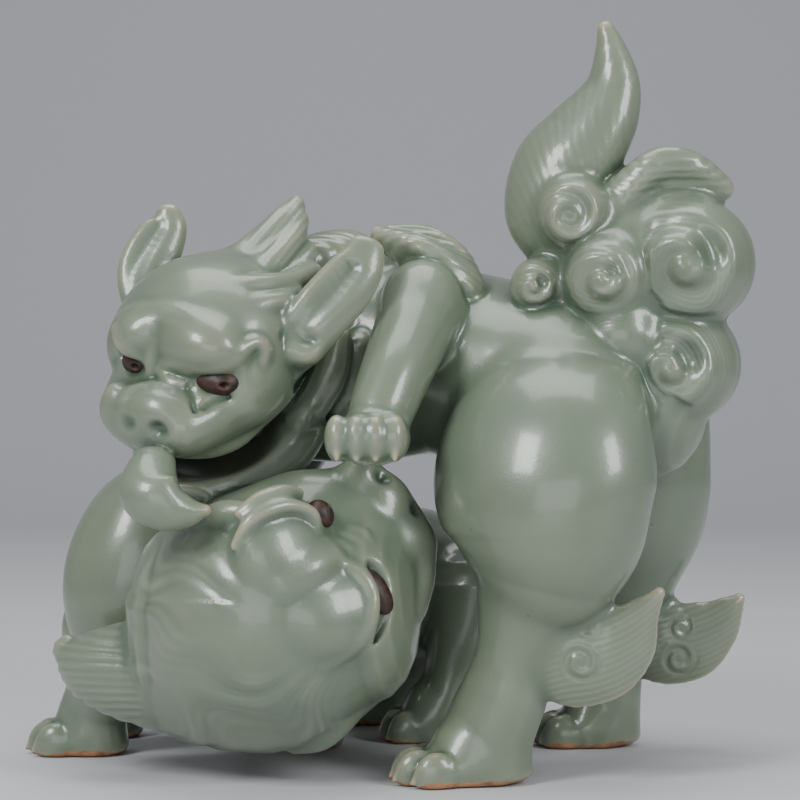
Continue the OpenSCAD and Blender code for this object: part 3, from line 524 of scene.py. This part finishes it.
# the foot rims: everything stops at the table, with a small rounded arris
height = (np.arange(I0[2], I1[2] + 1) * H).astype(f32)
G = soft_max(soft_min(A.g, B.g, JOIN_DOGS), 0.25 - height[None, None, :], ARRIS)


def blur(a, r):
    """Box blur of radius r voxels along each axis, repeated edges."""
    for ax in range(3):
        pad = [(0, 0)] * 3
        pad[ax] = (r + 1, r)
        c = np.cumsum(np.pad(a, pad, mode="edge"), axis=ax, dtype=np.float64 if r > 3 else f32)
        n = a.shape[ax]
        hi = np.take(c, np.arange(2 * r + 1, 2 * r + 1 + n), axis=ax)
        lo = np.take(c, np.arange(0, n), axis=ax)
        a = ((hi - lo) / (2 * r + 1)).astype(f32)
    return a


G = 0.5 * G + 0.5 * blur(G, 1)
FINE = blur(np.clip(G, -6, 6), max(1, int(round(1.8 / H))))
WIDE = blur(np.clip(G, -9, 9), max(2, int(round(5.0 / H))))

grid = vdb.FloatGrid(BAND)
grid.copyFromArray(G, ijk=tuple(int(v) for v in I0), tolerance=0.0)
grid.transform = XF
P, Q = grid.convertToQuads(isovalue=0.0)
P = np.asarray(P, float)
Q = np.asarray(Q, np.int64)
print("surface", len(P), "points", len(Q), "quads")


def sample(F, pts):
    """A field's value at points, between its eight nearest voxels."""
    q = pts / H - I0
    i = np.clip(np.floor(q).astype(int), 0, np.array(F.shape) - 2)
    f = (q - i).astype(f32)
    out = 0
    for corner in np.ndindex(2, 2, 2):
        x, y, z = (f[:, a] if corner[a] else 1 - f[:, a] for a in range(3))
        out = out + x * y * z * F[i[:, 0] + corner[0], i[:, 1] + corner[1], i[:, 2] + corner[2]]
    return out


# drop loose specks and shells inside the clay: keep the part that is connected to the outside
def components(nv, faces):
    lab = np.arange(nv)
    while True:
        m = lab[faces].min(1)
        new = lab.copy()
        for c in range(faces.shape[1]):
            np.minimum.at(new, faces[:, c], m)
        new = new[new]
        if (new == lab).all():
            return lab
        lab = new


lab = components(len(P), Q)
vals, counts = np.unique(lab, return_counts=True)
main = vals[np.argmax(counts)]
Q = Q[lab[Q[:, 0]] == main]
used = np.unique(Q)
remap = np.full(len(P), -1)
remap[used] = np.arange(len(used))
P, Q = P[used], remap[Q]


def normals(P, Q):
    n = np.cross(P[Q[:, 2]] - P[Q[:, 0]], P[Q[:, 3]] - P[Q[:, 1]])
    out = np.zeros_like(P)
    for c in range(4):
        for ax in range(3):
            out[:, ax] += np.bincount(Q[:, c], n[:, ax], len(P))
    return out / np.maximum(np.linalg.norm(out, axis=1), 1e-12)[:, None]


NRM = normals(P, Q)
e = 0.6 * H
grad = np.stack([sample(G, P + e * np.eye(3)[a]) - sample(G, P - e * np.eye(3)[a]) for a in range(3)], 1)
if (NRM * grad).sum() < 0:
    Q = Q[:, ::-1]
    NRM = -NRM

D = P - OFF
ridge = sample(FINE, P)
broad = sample(WIDE, P)
q = np.clip(np.round(P / H - I0).astype(int), 0, N - 1)
vown = OWN[q[:, 0], q[:, 1], q[:, 2]]

# ---------------- combed hair: the phase along which lines repeat, and how strong they are
phase = np.zeros(len(P))
hair = np.zeros(len(P))


def isnode(*names):
    return np.isin(vown, [ID[n] for n in names])


def fall(x, a, b):
    t = np.clip((x - a) / (b - a), 0, 1)
    return t * t * (3 - 2 * t)


def edges_of(quads):
    return np.concatenate([quads[:, [i, (i + 1) % 4]] for i in range(4)])


# relief dies away within a few millimetres of a neighbouring piece, so seams stay smooth
edges = edges_of(Q)
far = np.full(len(P), 99.0)
mixed = vown[edges[:, 0]] != vown[edges[:, 1]]
far[edges[mixed].ravel()] = 0.0
for _ in range(int(math.ceil(5.0 / H))):
    step = np.minimum(far[edges[:, 0]], far[edges[:, 1]]) + 1
    np.minimum.at(far, edges[:, 0], step)
    np.minimum.at(far, edges[:, 1], step)
calm = fall(far * H, 0.5, 5.0)

def lift(idx, amount):
    """Move points out along their normals, less near a seam."""
    P[idx] += NRM[idx] * (calm[idx] * amount)[:, None]


# curls: an Archimedean spiral about an axis that points out of the tail
for side, node in ((1, "tail_curls_near"), (-1, "tail_curls_far")):
    idx = np.where(isnode(node))[0]
    C = np.array([[cx + 2 * (1 - side), 10 - side * out, cz, r] for cx, cz, r, out in CURLS])
    d = np.linalg.norm(D[idx][:, None, :] - C[None, :, :3], axis=2) / C[None, :, 3]
    w = np.argmin(d, 1)
    ds = np.sort(d, 1)
    apart = fall(ds[:, 1] - ds[:, 0], 0.02, 0.26)
    rel, size = D[idx] - C[w, :3], C[w, 3]
    ex, ez = rel[:, 0] + 0.22 * size, rel[:, 2] + 0.10 * size
    rad, ang = np.hypot(ex, ez), np.arctan2(ez, side * ex)
    out_ = rad / size
    phase[idx] = rad / 1.6 + 0.8 * np.sin(2 * ang + C[w, 0]) + 0.5 * np.sin(rel[:, 0] / 4.0 + rel[:, 2] / 6.0)
    hair[idx] = 0.46 * apart * fall(out_, 0.22, 0.5) * (1 - 0.6 * fall(out_, 0.8, 1.2)) * \
        (0.55 + 0.45 * np.sin(2 * ang + 0.7 * C[w, 0]))
    # the coil: a rounded groove of about one and a half turns, and a boss in its eye
    face = fall(-side * rel[:, 1] / size, 0.0, 0.45)
    coil = out_ / 0.66 - ang / TURN + C[w, 0] * 0.13
    coiled = (w != 4) * apart
    amp = 0.080 * coiled * fall(out_, 0.10, 0.32) * (1 - fall(out_, 0.62, 1.0))
    boss = 0.06 * coiled * (w != 0) * np.exp(-(out_ / 0.13) ** 2)
    lift(idx, face * size * (amp * np.cos(TURN * coil) + boss))

# hock tufts: a small and a larger coil, and lines that sweep back to the tip
for node, cs in (("hock_tuft_near", ((70.6, 62.1), (67.9, 48.5))), ("hock_tuft_far", ((116, 51.4), (114.8, 38.5)))):
    idx = np.where(isnode(node))[0]
    c = np.array(cs, float)
    w = np.argmin(np.hypot(D[idx, 0][:, None] - c[:, 0], D[idx, 2][:, None] - c[:, 1]), 1)
    rx, rz = D[idx, 0] - c[w, 0], D[idx, 2] - c[w, 1]
    rad, ang = np.hypot(rx, rz), np.arctan2(rz, rx)
    size = np.where(w == 0, 5.2, 8.0)
    inside = 1 - fall(rad, size * 0.75, size * 1.15)
    u = D[idx, 0] - c[1, 0]
    sweep = (D[idx, 2] - 48 - 0.012 * u * np.abs(u)) / 2.6 - 0.05 * u
    phase[idx] = np.where(inside > 0.5, rad / 1.6, sweep)
    hair[idx] = 0.45 - 0.30 * inside
    lift(idx, 0.55 * inside * fall(rad, 0.6, 2.5) * np.cos(TURN * (rad / 5.4 - ang / TURN)))
    lift(idx, 0.07 * (1 - inside) * np.sin(TURN * sweep))

# the crouching mane: combed from the crown down and round, deeper towards the edges
idx = np.where(isnode("crouching_mane"))[0]
x, y, z = (D[idx] - np.array([-30, -40, 74])).T
along, ang = np.hypot(x, z), np.arctan2(z, x)
wander = 1.3 * np.sin(x / 8.3 + 0.9 * np.sin(z / 7.1)) + 1.1 * np.sin(z / 9.7 - x / 17.0 + 1.1 * np.sin(y / 9.0))
phase[idx] = ang / TURN * 44 + along / 8.0 + wander + 0.8 * np.sin(along / 9.0 + 2 * ang)
patch = fall(np.sin(x / 10.7 + 1.2 * np.sin(z / 12.3)) * np.sin(z / 11.9 + np.sin(x / 14.1) + 0.6), -0.45, 0.75)
left = fall(-x, -8, 34) * fall(along, 20, 44)
low = fall(-z, 22, 46) * fall(-x, -30, 0)
wisps = np.clip(np.maximum(left * (0.35 + 0.65 * np.sin(along / 8.0 + 3 * ang) ** 2), low), 0, 1)
hair[idx] = wisps * (0.12 + 0.88 * patch)
# the locks themselves are broad soft swells the fine lines run along
lift(idx, 0.50 * np.clip(np.maximum(left, low), 0, 1) * np.sin(TURN * phase[idx] / 5.0 + 0.8 * wander))
lift(idx, 0.10 * hair[idx] * np.sin(TURN * phase[idx]))


# the other locks: lines about 3 mm apart, as deep as given in millimetres
def shoulder(x, y, z):
    return (y * 0.8 + z * 0.7) / 3.2 + 0.05 * x


for node, depth, lines in (
        ("crouching_cheek_lock", 0.22, lambda x, y, z: (z - 44) / 3.4 + 0.004 * (x + 128) * (z - 44) / 3.4),
        ("standing_crest", 0.10, lambda x, y, z: (0.75 * x - 0.66 * z) / 2.6 + 0.03 * y),
        ("standing_nape_mane", 0.16, lambda x, y, z: y / 3.4 + 0.05 * x),
        ("standing_shoulder_lock_near", 0.2, shoulder),
        ("standing_shoulder_lock_far", 0.25, shoulder),
        ("tail_top_lock", 0.10, lambda x, y, z: (z * 0.75 + np.abs(y - 8) * 0.5) / 2.8 + 0.0009 * (x - 100) ** 2),
        ("tail_flame", 0.03, lambda x, y, z: (x - 74 + 13 * np.sin((z - 214) / 26.0)) / 3.4),
        ("crouching_tail", 0.2, lambda x, y, z: (y * 0.9 + x * 0.4) / 3.0)):
    idx = np.where(isnode(node))[0]
    phase[idx] = lines(*D[idx].T)
    hair[idx] = 0.55 if depth > 0.09 else 0.12
    lift(idx, depth * np.sin(TURN * phase[idx]))

# hair fades out before it meets a neighbour, and nothing drops below the table
hair *= 0.25 + 0.75 * calm
# lines that turn too tightly for the mesh are drawn by the material from their phase, and the rest by the points
fine = isnode("tail_curls_near", "tail_curls_far", "hock_tuft_near", "hock_tuft_far")
wave = np.where(fine, 0, hair * (0.5 + 0.5 * np.sin(TURN * phase)))
hair = np.where(fine, hair, 0)
P[:, 2] = np.maximum(P[:, 2], 0.0)
NRM = normals(P, Q)
# the glaze was wiped from the foot rims to an uneven line
x, y = D[:, 0], D[:, 1]
ragged = 1.3 + 0.9 * np.sin(x / 4.1 + 1.3) * np.sin(y / 5.3 + 0.4) + 0.8 * np.sin(x / 9.7 - y / 7.9) + \
    0.3 * np.sin(x * 1.1 + y * 0.7)
bare = 1 - fall(P[:, 2] - ragged, 0.0, 1.3)
# painted shade: the walls of the mouth are painted dark, standing in for the shade inside the mouth
full = np.full(N, BAND, f32)
full[A._at(MOUTH, MOUTH_AT)] = MOUTH
painted_mouth_shade = (1 - fall(sample(full, P), -0.2, 1.2)) * isnode("standing_head", "standing_jaw", "standing_trunk_near")
del full

# ---------------- cut into the pieces, one per node
# a face belongs to the node that most of its corners belong to
srt = np.sort(vown[Q], axis=1)
fown = np.where(srt[:, 1] == srt[:, 2], srt[:, 1], srt[:, 0])
fown[fown == 0] = srt[:, 3][fown == 0]

# faces that ended up in a small island join the neighbour they touch most
E = np.sort(edges_of(Q), axis=1)
F = np.tile(np.arange(len(Q)), 4)
order = np.lexsort((E[:, 1], E[:, 0]))
E, F = E[order], F[order]
same = (E[1:] == E[:-1]).all(1)
pa, pb = F[:-1][same], F[1:][same]
for _ in range(6):
    lab = np.arange(len(Q))
    joined = fown[pa] == fown[pb]
    a, b = pa[joined], pb[joined]
    while True:
        m = np.minimum(lab[a], lab[b])
        new = lab.copy()
        np.minimum.at(new, a, m)
        np.minimum.at(new, b, m)
        new = new[new]
        if (new == lab).all():
            break
        lab = new
    size = np.bincount(lab, minlength=len(Q))[lab]
    small = size < 90
    if not small.any():
        break
    cut = fown[pa] != fown[pb]
    x, y = pa[cut], pb[cut]
    move = {}
    for u, v in ((x, y), (y, x)):
        s = small[u] & ~small[v]
        for l, o in zip(lab[u[s]], fown[v[s]]):
            move.setdefault(int(l), []).append(int(o))
    if not move:
        break
    table = fown.copy()
    for l, os_ in move.items():
        table[lab == l] = max(set(os_), key=os_.count)
    fown = table

# ---------------- materials
class Shader:
    """The nodes of one material, round the principled shader that it starts with."""

    def __init__(self, name):
        self.material = bpy.data.materials.new(name)
        self.material.use_nodes = True
        self.tree = self.material.node_tree
        self.principled = next(n for n in self.tree.nodes if n.type == "BSDF_PRINCIPLED")
        self.where = self.node("TexCoord").outputs["Object"]

    def put(self, socket, value):
        """Give a socket a number, a colour or another node's output."""
        if isinstance(value, bpy.types.NodeSocket):
            self.tree.links.new(value, socket)
        else:
            socket.default_value = (*value, 1) if isinstance(value, tuple) else value

    def node(self, kind, inputs=(), **settings):
        n = self.tree.nodes.new("ShaderNode" + kind)
        for name, value in settings.items():
            setattr(n, name, value)
        for key, value in inputs:
            self.put(n.inputs[key], value)
        return n

    def attr(self, name):
        return self.node("Attribute", attribute_name=name).outputs["Fac"]

    def noise(self, scale, detail=2.0, rough=0.5):
        return self.node("TexNoise", (("Scale", scale), ("Detail", detail), ("Roughness", rough),
                                      ("Vector", self.where))).outputs["Fac"]

    def cells(self, scale):
        """Distance to the nearest of some scattered points, and that point's random colour."""
        v = self.node("TexVoronoi", (("Scale", scale), ("Vector", self.where)))
        return v.outputs["Distance"], self.node("SeparateColor", ((0, v.outputs["Color"]),)).outputs

    def ramp(self, fac, stops):
        n = self.node("ValToRGB", ((0, fac),))
        els = n.color_ramp.elements
        while len(els) < len(stops):
            els.new(0.5)
        for el, (at, colour) in zip(els, stops):
            el.position = at
            el.color = (*colour, 1)
        return n.outputs[0]

    def math(self, op, *values):
        return self.node("Math", enumerate(values), operation=op).outputs[0]

    def mix(self, fac, a, b, mode="MIX"):
        return self.node("Mix", ((0, fac), (6, a), (7, b)), data_type="RGBA", blend_type=mode).outputs[2]

    def done(self, colour, roughness, height, strength, distance):
        b = self.node("Bump", (("Strength", strength), ("Distance", distance), ("Height", height)))
        for name, value in (("Base Color", colour), ("Roughness", roughness), ("Normal", b.outputs[0])):
            self.put(self.principled.inputs[name], value)
        return self.material


def celadon():
    s = Shader("celadon_glaze")
    for name, value in (("IOR", 1.5), ("Coat Weight", 0.55), ("Coat Roughness", 0.13), ("Coat IOR", 1.5)):
        s.put(s.principled.inputs[name], value)
    attr, noise, ramp, math_, mix = s.attr, s.noise, s.ramp, s.math, s.mix
    # the glaze is thin and pale on ridges, thick and green in creases; the darkest stops also paint the shade that
    # falls in the creases
    thickness_and_shade = math_("ADD", attr("pooling_and_shade"), math_("MULTIPLY", math_("SUBTRACT", noise(38, 3), 0.5), 0.16))
    base = ramp(thickness_and_shade, ((0.08, (0.036, 0.060, 0.040)), (0.32, (0.070, 0.106, 0.070)), (0.52, (0.134, 0.170, 0.122)),
                        (0.72, (0.186, 0.210, 0.152)), (0.94, (0.345, 0.312, 0.225))))
    cloud = ramp(noise(11, 4), ((0.35, (0.90, 0.95, 0.92)), (0.65, (1.06, 1.03, 0.99))))
    base = mix(1.0, base, cloud, "MULTIPLY")
    # combed hair: pale where the comb left a ridge
    wave = math_("SINE", math_("MULTIPLY", attr("comb"), TURN))
    hairy = math_("MULTIPLY_ADD", math_("MULTIPLY_ADD", wave, 0.5, 0.5), attr("hair"), attr("wave"))
    base = mix(math_("MULTIPLY", hairy, 0.30), base, (0.34, 0.37, 0.29))
    # painted shade: the mouth's walls are mixed to near black
    base = mix(math_("MULTIPLY", attr("painted_mouth_shade"), 0.93), base, (0.018, 0.017, 0.012))
    # iron specks
    near, cell = s.cells(95)
    speck = math_("MULTIPLY", math_("LESS_THAN", near, 0.055), math_("GREATER_THAN", cell[0], 0.86))
    base = mix(math_("MULTIPLY", speck, 0.55), base, (0.10, 0.055, 0.03))
    # unglazed rim burnt orange-brown
    edge = math_("ADD", attr("bare"), math_("MULTIPLY", math_("SUBTRACT", noise(160, 3), 0.5), 0.7))
    rim = ramp(edge, ((0.42, (0, 0, 0)), (0.62, (1, 1, 1))))
    clay = ramp(noise(220, 4), ((0.3, (0.16, 0.060, 0.025)), (0.7, (0.42, 0.20, 0.085))))
    base = mix(rim, base, clay)
    # a soft satin under the gloss, rougher where the clay is bare
    rough = math_("ADD", math_("MULTIPLY_ADD", noise(70, 3), 0.14, 0.24), math_("MULTIPLY", rim, 0.4))
    # orange peel, combed lines and a few pinholes, in metres
    height = math_("MULTIPLY_ADD", noise(1500, 2, 0.6), 0.00011, math_("MULTIPLY", noise(150, 2), 0.00012))
    height = math_("ADD", height, math_("MULTIPLY", hairy, 0.00014))
    near, cell = s.cells(140)
    pit = math_("MULTIPLY", math_("LESS_THAN", near, 0.07), math_("GREATER_THAN", cell[1], 0.88))
    height = math_("SUBTRACT", height, math_("MULTIPLY", pit, 0.0003))
    return s.done(base, rough, height, strength=0.65, distance=1.0)


def biscuit():
    s = Shader("iron_biscuit")
    grain = s.noise(240, 4)
    colour = s.ramp(grain, ((0.32, (0.004, 0.003, 0.0025)), (0.72, (0.060, 0.024, 0.014))))
    rough = s.node("MapRange", (("To Min", 0.35), ("To Max", 0.65), ("Value", grain))).outputs[0]
    return s.done(colour, rough, grain, strength=0.8, distance=0.0005)


GLAZE = celadon()
BISCUIT = biscuit()

# glaze thickness and painted crease shade: 0 pooled and shaded in a crease, 1 drained off a ridge
# partly painted shade: creases and hollows are darkened as well as pooled
pooling_and_shade = np.clip(0.50 + 0.37 * (ridge / 0.55) + 0.10 * np.clip(broad / 2.0, -1.5, 1.0), 0, 1)


def loops_of(faces):
    """Closed loops of boundary edges, each as an ordered list of vertices."""
    have = set(map(tuple, edges_of(faces).tolist()))
    free = [(a, b) for a, b in have if (b, a) not in have]
    nxt = {}
    for a, b in free:
        nxt.setdefault(a, []).append(b)
    out = []
    while nxt:
        start = min(nxt)
        loop, cur = [start], nxt[start].pop()
        if not nxt[start]:
            del nxt[start]
        while cur != start and cur in nxt:
            loop.append(cur)
            step = nxt[cur].pop()
            if not nxt[cur]:
                del nxt[cur]
            cur = step
        out.append(loop)
    return out


def link(name, data):
    ob = bpy.data.objects.new(name, data)
    bpy.context.scene.collection.objects.link(ob)
    return ob


def hang(me, node, material):
    """Put a mesh in the scene as the visible piece of a node."""
    me.materials.append(material)
    ob = link("v_" + node, me)
    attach(ob, "root")
    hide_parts(node)


def make_piece(node, faces):
    """One section of clay: its share of the surface, closed inside along every seam."""
    used, fl = np.unique(faces, return_inverse=True)
    fl = fl.reshape(faces.shape)
    V, nr = P[used], NRM[used]
    tris, extra, en = [], [], []
    for loop in loops_of(fl):
        if len(loop) < 3:
            continue
        # the cap's middle walks into the clay until it is well inside
        c = V[loop].mean(0) - nr[loop].mean(0)
        for _ in range(16):
            g0 = sample(G, c[None])[0]
            if g0 < -6:
                break
            g = np.array([sample(G, (c + e * np.eye(3)[a])[None])[0] - g0 for a in range(3)])
            c = c - unit(g)
        # a short skirt dives under the seam before the cap closes over it
        i = len(V) + len(extra)
        m = len(loop)
        inset = V[loop] - SKIRT * nr[loop]
        extra += list(inset) + [c]
        en += list(nr[loop]) + [unit(nr[loop].mean(0))]
        for a in range(m):
            b = (a + 1) % m
            tris += [(loop[b], loop[a], i + a), (loop[b], i + a, i + b), (i + b, i + a, i + m)]
    allv = np.concatenate([V, np.array(extra).reshape(-1, 3)]) * METRES
    me = bpy.data.meshes.new("v_" + node)
    nq, ntri = len(fl), len(tris)
    me.vertices.add(len(allv))
    me.vertices.foreach_set("co", allv.astype(f32).ravel())
    verts = np.concatenate([fl.ravel(), np.array(tris, int).reshape(-1)])
    me.loops.add(len(verts))
    me.loops.foreach_set("vertex_index", verts.astype(np.int32))
    me.polygons.add(nq + ntri)
    starts = np.concatenate([np.arange(nq) * 4, nq * 4 + np.arange(ntri) * 3])
    me.polygons.foreach_set("loop_start", starts.astype(np.int32))
    me.polygons.foreach_set("loop_total", np.concatenate([np.full(nq, 4), np.full(ntri, 3)]).astype(np.int32))
    me.polygons.foreach_set("use_smooth", np.ones(nq + ntri, bool))
    me.update(calc_edges=True)
    me.validate()
    z = np.zeros(len(extra))
    for name, src in zip(ATTRIBUTES, (pooling_and_shade, phase, hair, wave, bare, painted_mouth_shade)):
        a = me.attributes.new(name, "FLOAT", "POINT")
        a.data.foreach_set("value", np.concatenate([src[used], z]).astype(f32))
    me.normals_split_custom_set_from_vertices(np.concatenate([nr, np.array(en).reshape(-1, 3)]).tolist())
    hang(me, node, GLAZE)


for node in NAMES:
    faces = Q[fown == ID[node]]
    if len(faces) > 20:
        make_piece(node, faces)


# ---------------- eyes: unglazed balls with a pierced pupil
def solid(node, parts, material):
    verts, faces, base = [], [], 0
    for V, Fc in parts:
        verts.append(V)
        faces += [tuple(i + base for i in f) for f in Fc]
        base += len(V)
    V = np.concatenate(verts) * METRES
    me = bpy.data.meshes.new("v_" + node)
    me.from_pydata(V.tolist(), [], faces)
    me.validate()
    me.polygons.foreach_set("use_smooth", np.ones(len(me.polygons), bool))
    # every point gets a middling glaze pool and a painted mouth shade of 0.8, which paints the glazed teeth dark as the
    # shade in the mouth
    for a in ATTRIBUTES:
        t = me.attributes.new(a, "FLOAT", "POINT")
        t.data.foreach_set("value", np.full(len(V), {"pooling_and_shade": 0.5, "painted_mouth_shade": 0.8}.get(a, 0.0), f32))
    hang(me, node, material)


def shell(rows, nu):
    """Faces of a closed form: quads between rows of nu points, and a fan to each of the two poles after them."""
    n = rows * nu
    quads = [(i * nu + j, (i + 1) * nu + j, (i + 1) * nu + (j + 1) % nu, i * nu + (j + 1) % nu)
             for i in range(rows - 1) for j in range(nu)]
    first = [(n, j, (j + 1) % nu) for j in range(nu)]
    return quads + first + [(n + 1, n - nu + (j + 1) % nu, n - nu + j) for j in range(nu)]


def eyeball(fr, c, r, look, hole=0.16, nu=48, nv=36):
    """An ellipsoid with a pit along look, given in the frame."""
    V = []
    for i in range(1, nv):
        for j in range(nu):
            t, p_ = math.pi * i / nv, 2 * math.pi * j / nu
            V.append((math.cos(t), math.sin(t) * math.cos(p_), math.sin(t) * math.sin(p_)))
    V = np.array(V + [(1, 0, 0), (-1, 0, 0)])
    a = unit(look)
    b = unit(np.cross((0, 0, 1), a))
    ax = np.arccos(np.clip(V[:, 0], -1, 1))
    pit = 1 - 0.34 * (1 - fall(ax, hole * 0.6, hole * 1.3)) + 0.035 * np.exp(-((ax - hole * 1.6) / 0.10) ** 2)
    V = (V * pit[:, None]) @ np.stack([a, b, np.cross(a, b)], 1).T * np.asarray(r) + np.asarray(c)
    return place(fr, V), shell(nv - 1, nu)


solid("standing_eyes", [eyeball(HEAD, (0.5, 20.5, 1.8), (8.5, 10.5, 6.5), (0.72, 0.66, 0.10)),
                        eyeball(HEAD, (2.6, -13.5, 2.0), (6.8, 7.5, 6.0), (0.95, 0.22, 0.05))], BISCUIT)
solid("crouching_eyes", [eyeball(LOWHEAD, (-6.2, 18.0, 6.2), (5.0, 5.8, 4.6), (0.55, 0.1, 0.8)),
                         eyeball(LOWHEAD, (-8.0, -16.5, 7.6), (5.6, 10.5, 5.2), (0.75, 0.25, 0.6))], BISCUIT)


def peg(fr, c, rt, rb, h, nu=20):
    """A blunt tooth that narrows from rb to rt over a drop of h."""
    rows = [(0, rb), (-h * 0.35, rb * 0.98), (-h * 0.7, rt * 1.15), (-h * 0.92, rt * 0.8), (-h, rt * 0.35)]
    V = []
    for z, r in rows:
        for j in range(nu):
            p_ = 2 * math.pi * j / nu
            V.append((c[0] + r * 0.8 * math.cos(p_), c[1] + r * math.sin(p_), c[2] + z))
    V += [(c[0], c[1], c[2]), (c[0], c[1], c[2] - h)]
    return place(fr, np.array(V)), shell(len(rows), nu)


solid("standing_teeth", [peg(HEAD, (6 - 8 * i, side * (8 + i * 3.2), -24), 1.6, 2.8, 8.0)
                         for side in (1, -1) for i in range(5)], GLAZE)

# ---------------- floor, light, camera
FLOOR_SIDE, FLOOR_FRONT, FLOOR_BACK, SWEEP, WALL = 4.0, 12.0, 1.2, 0.8, 5.0


def sweep(name):
    """A floor that curves up into a backdrop, in metres."""
    curve = [(FLOOR_BACK + SWEEP * math.sin(t), SWEEP - SWEEP * math.cos(t)) for t in np.linspace(0.1, math.pi / 2, 14)]
    prof = [(-FLOOR_FRONT, 0.0), (FLOOR_BACK, 0.0)] + curve + [(FLOOR_BACK + SWEEP, WALL)]
    V = [(x, y, z) for y, z in prof for x in (-FLOOR_SIDE, FLOOR_SIDE)]
    Fc = [(2 * i, 2 * i + 1, 2 * i + 3, 2 * i + 2) for i in range(len(prof) - 1)]
    me = bpy.data.meshes.new(name)
    me.from_pydata(V, [], Fc)
    me.polygons.foreach_set("use_smooth", np.ones(len(me.polygons), bool))
    pale = Shader("pale_floor")
    pale.put(pale.principled.inputs["Base Color"], (0.55, 0.55, 0.57))
    pale.put(pale.principled.inputs["Roughness"], 0.55)
    me.materials.append(pale.material)
    ob = link(name, me)
    ob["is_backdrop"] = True


sweep("floor")


def area(name, loc, target, size, power):
    l = bpy.data.lights.new(name, "AREA")
    l.shape = "RECTANGLE"
    l.size, l.size_y = size
    l.energy = power
    o = link(name, l)
    o.location = loc
    o.rotation_euler = (Vector(target) - Vector(loc)).to_track_quat("-Z", "Y").to_euler()


area("key", (-0.75, -0.95, 0.95), (0, 0, 0.14), (0.40, 0.55), 14.5)
area("fill", (0.95, -0.85, 0.75), (0, 0, 0.14), (0.35, 0.60), 10)
area("top", (0.0, 0.05, 1.25), (0, 0, 0.10), (0.9, 0.7), 9)
area("front", (-0.15, -1.35, 0.30), (0, 0, 0.13), (0.9, 0.5), 3.2)
w = bpy.data.worlds.new("studio")
bpy.context.scene.world = w
w.use_nodes = True
w.node_tree.nodes["Background"].inputs[0].default_value = (0.80, 0.83, 0.88, 1)
w.node_tree.nodes["Background"].inputs[1].default_value = 0.42

cam = bpy.data.cameras.new("camera")
co = link("camera", cam)
cam.sensor_width = 36
cam.lens = 115.2
co.location = (0.0042, -1.044, 0.174)
co.rotation_euler = (math.radians(90 - 1.589), 0, 0)
cam.clip_end = 50
bpy.context.scene.camera = co

size = {"cad": [list(map(float, v)) for v in CAD_BOX], "visual": [list(map(float, v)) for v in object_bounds()]}
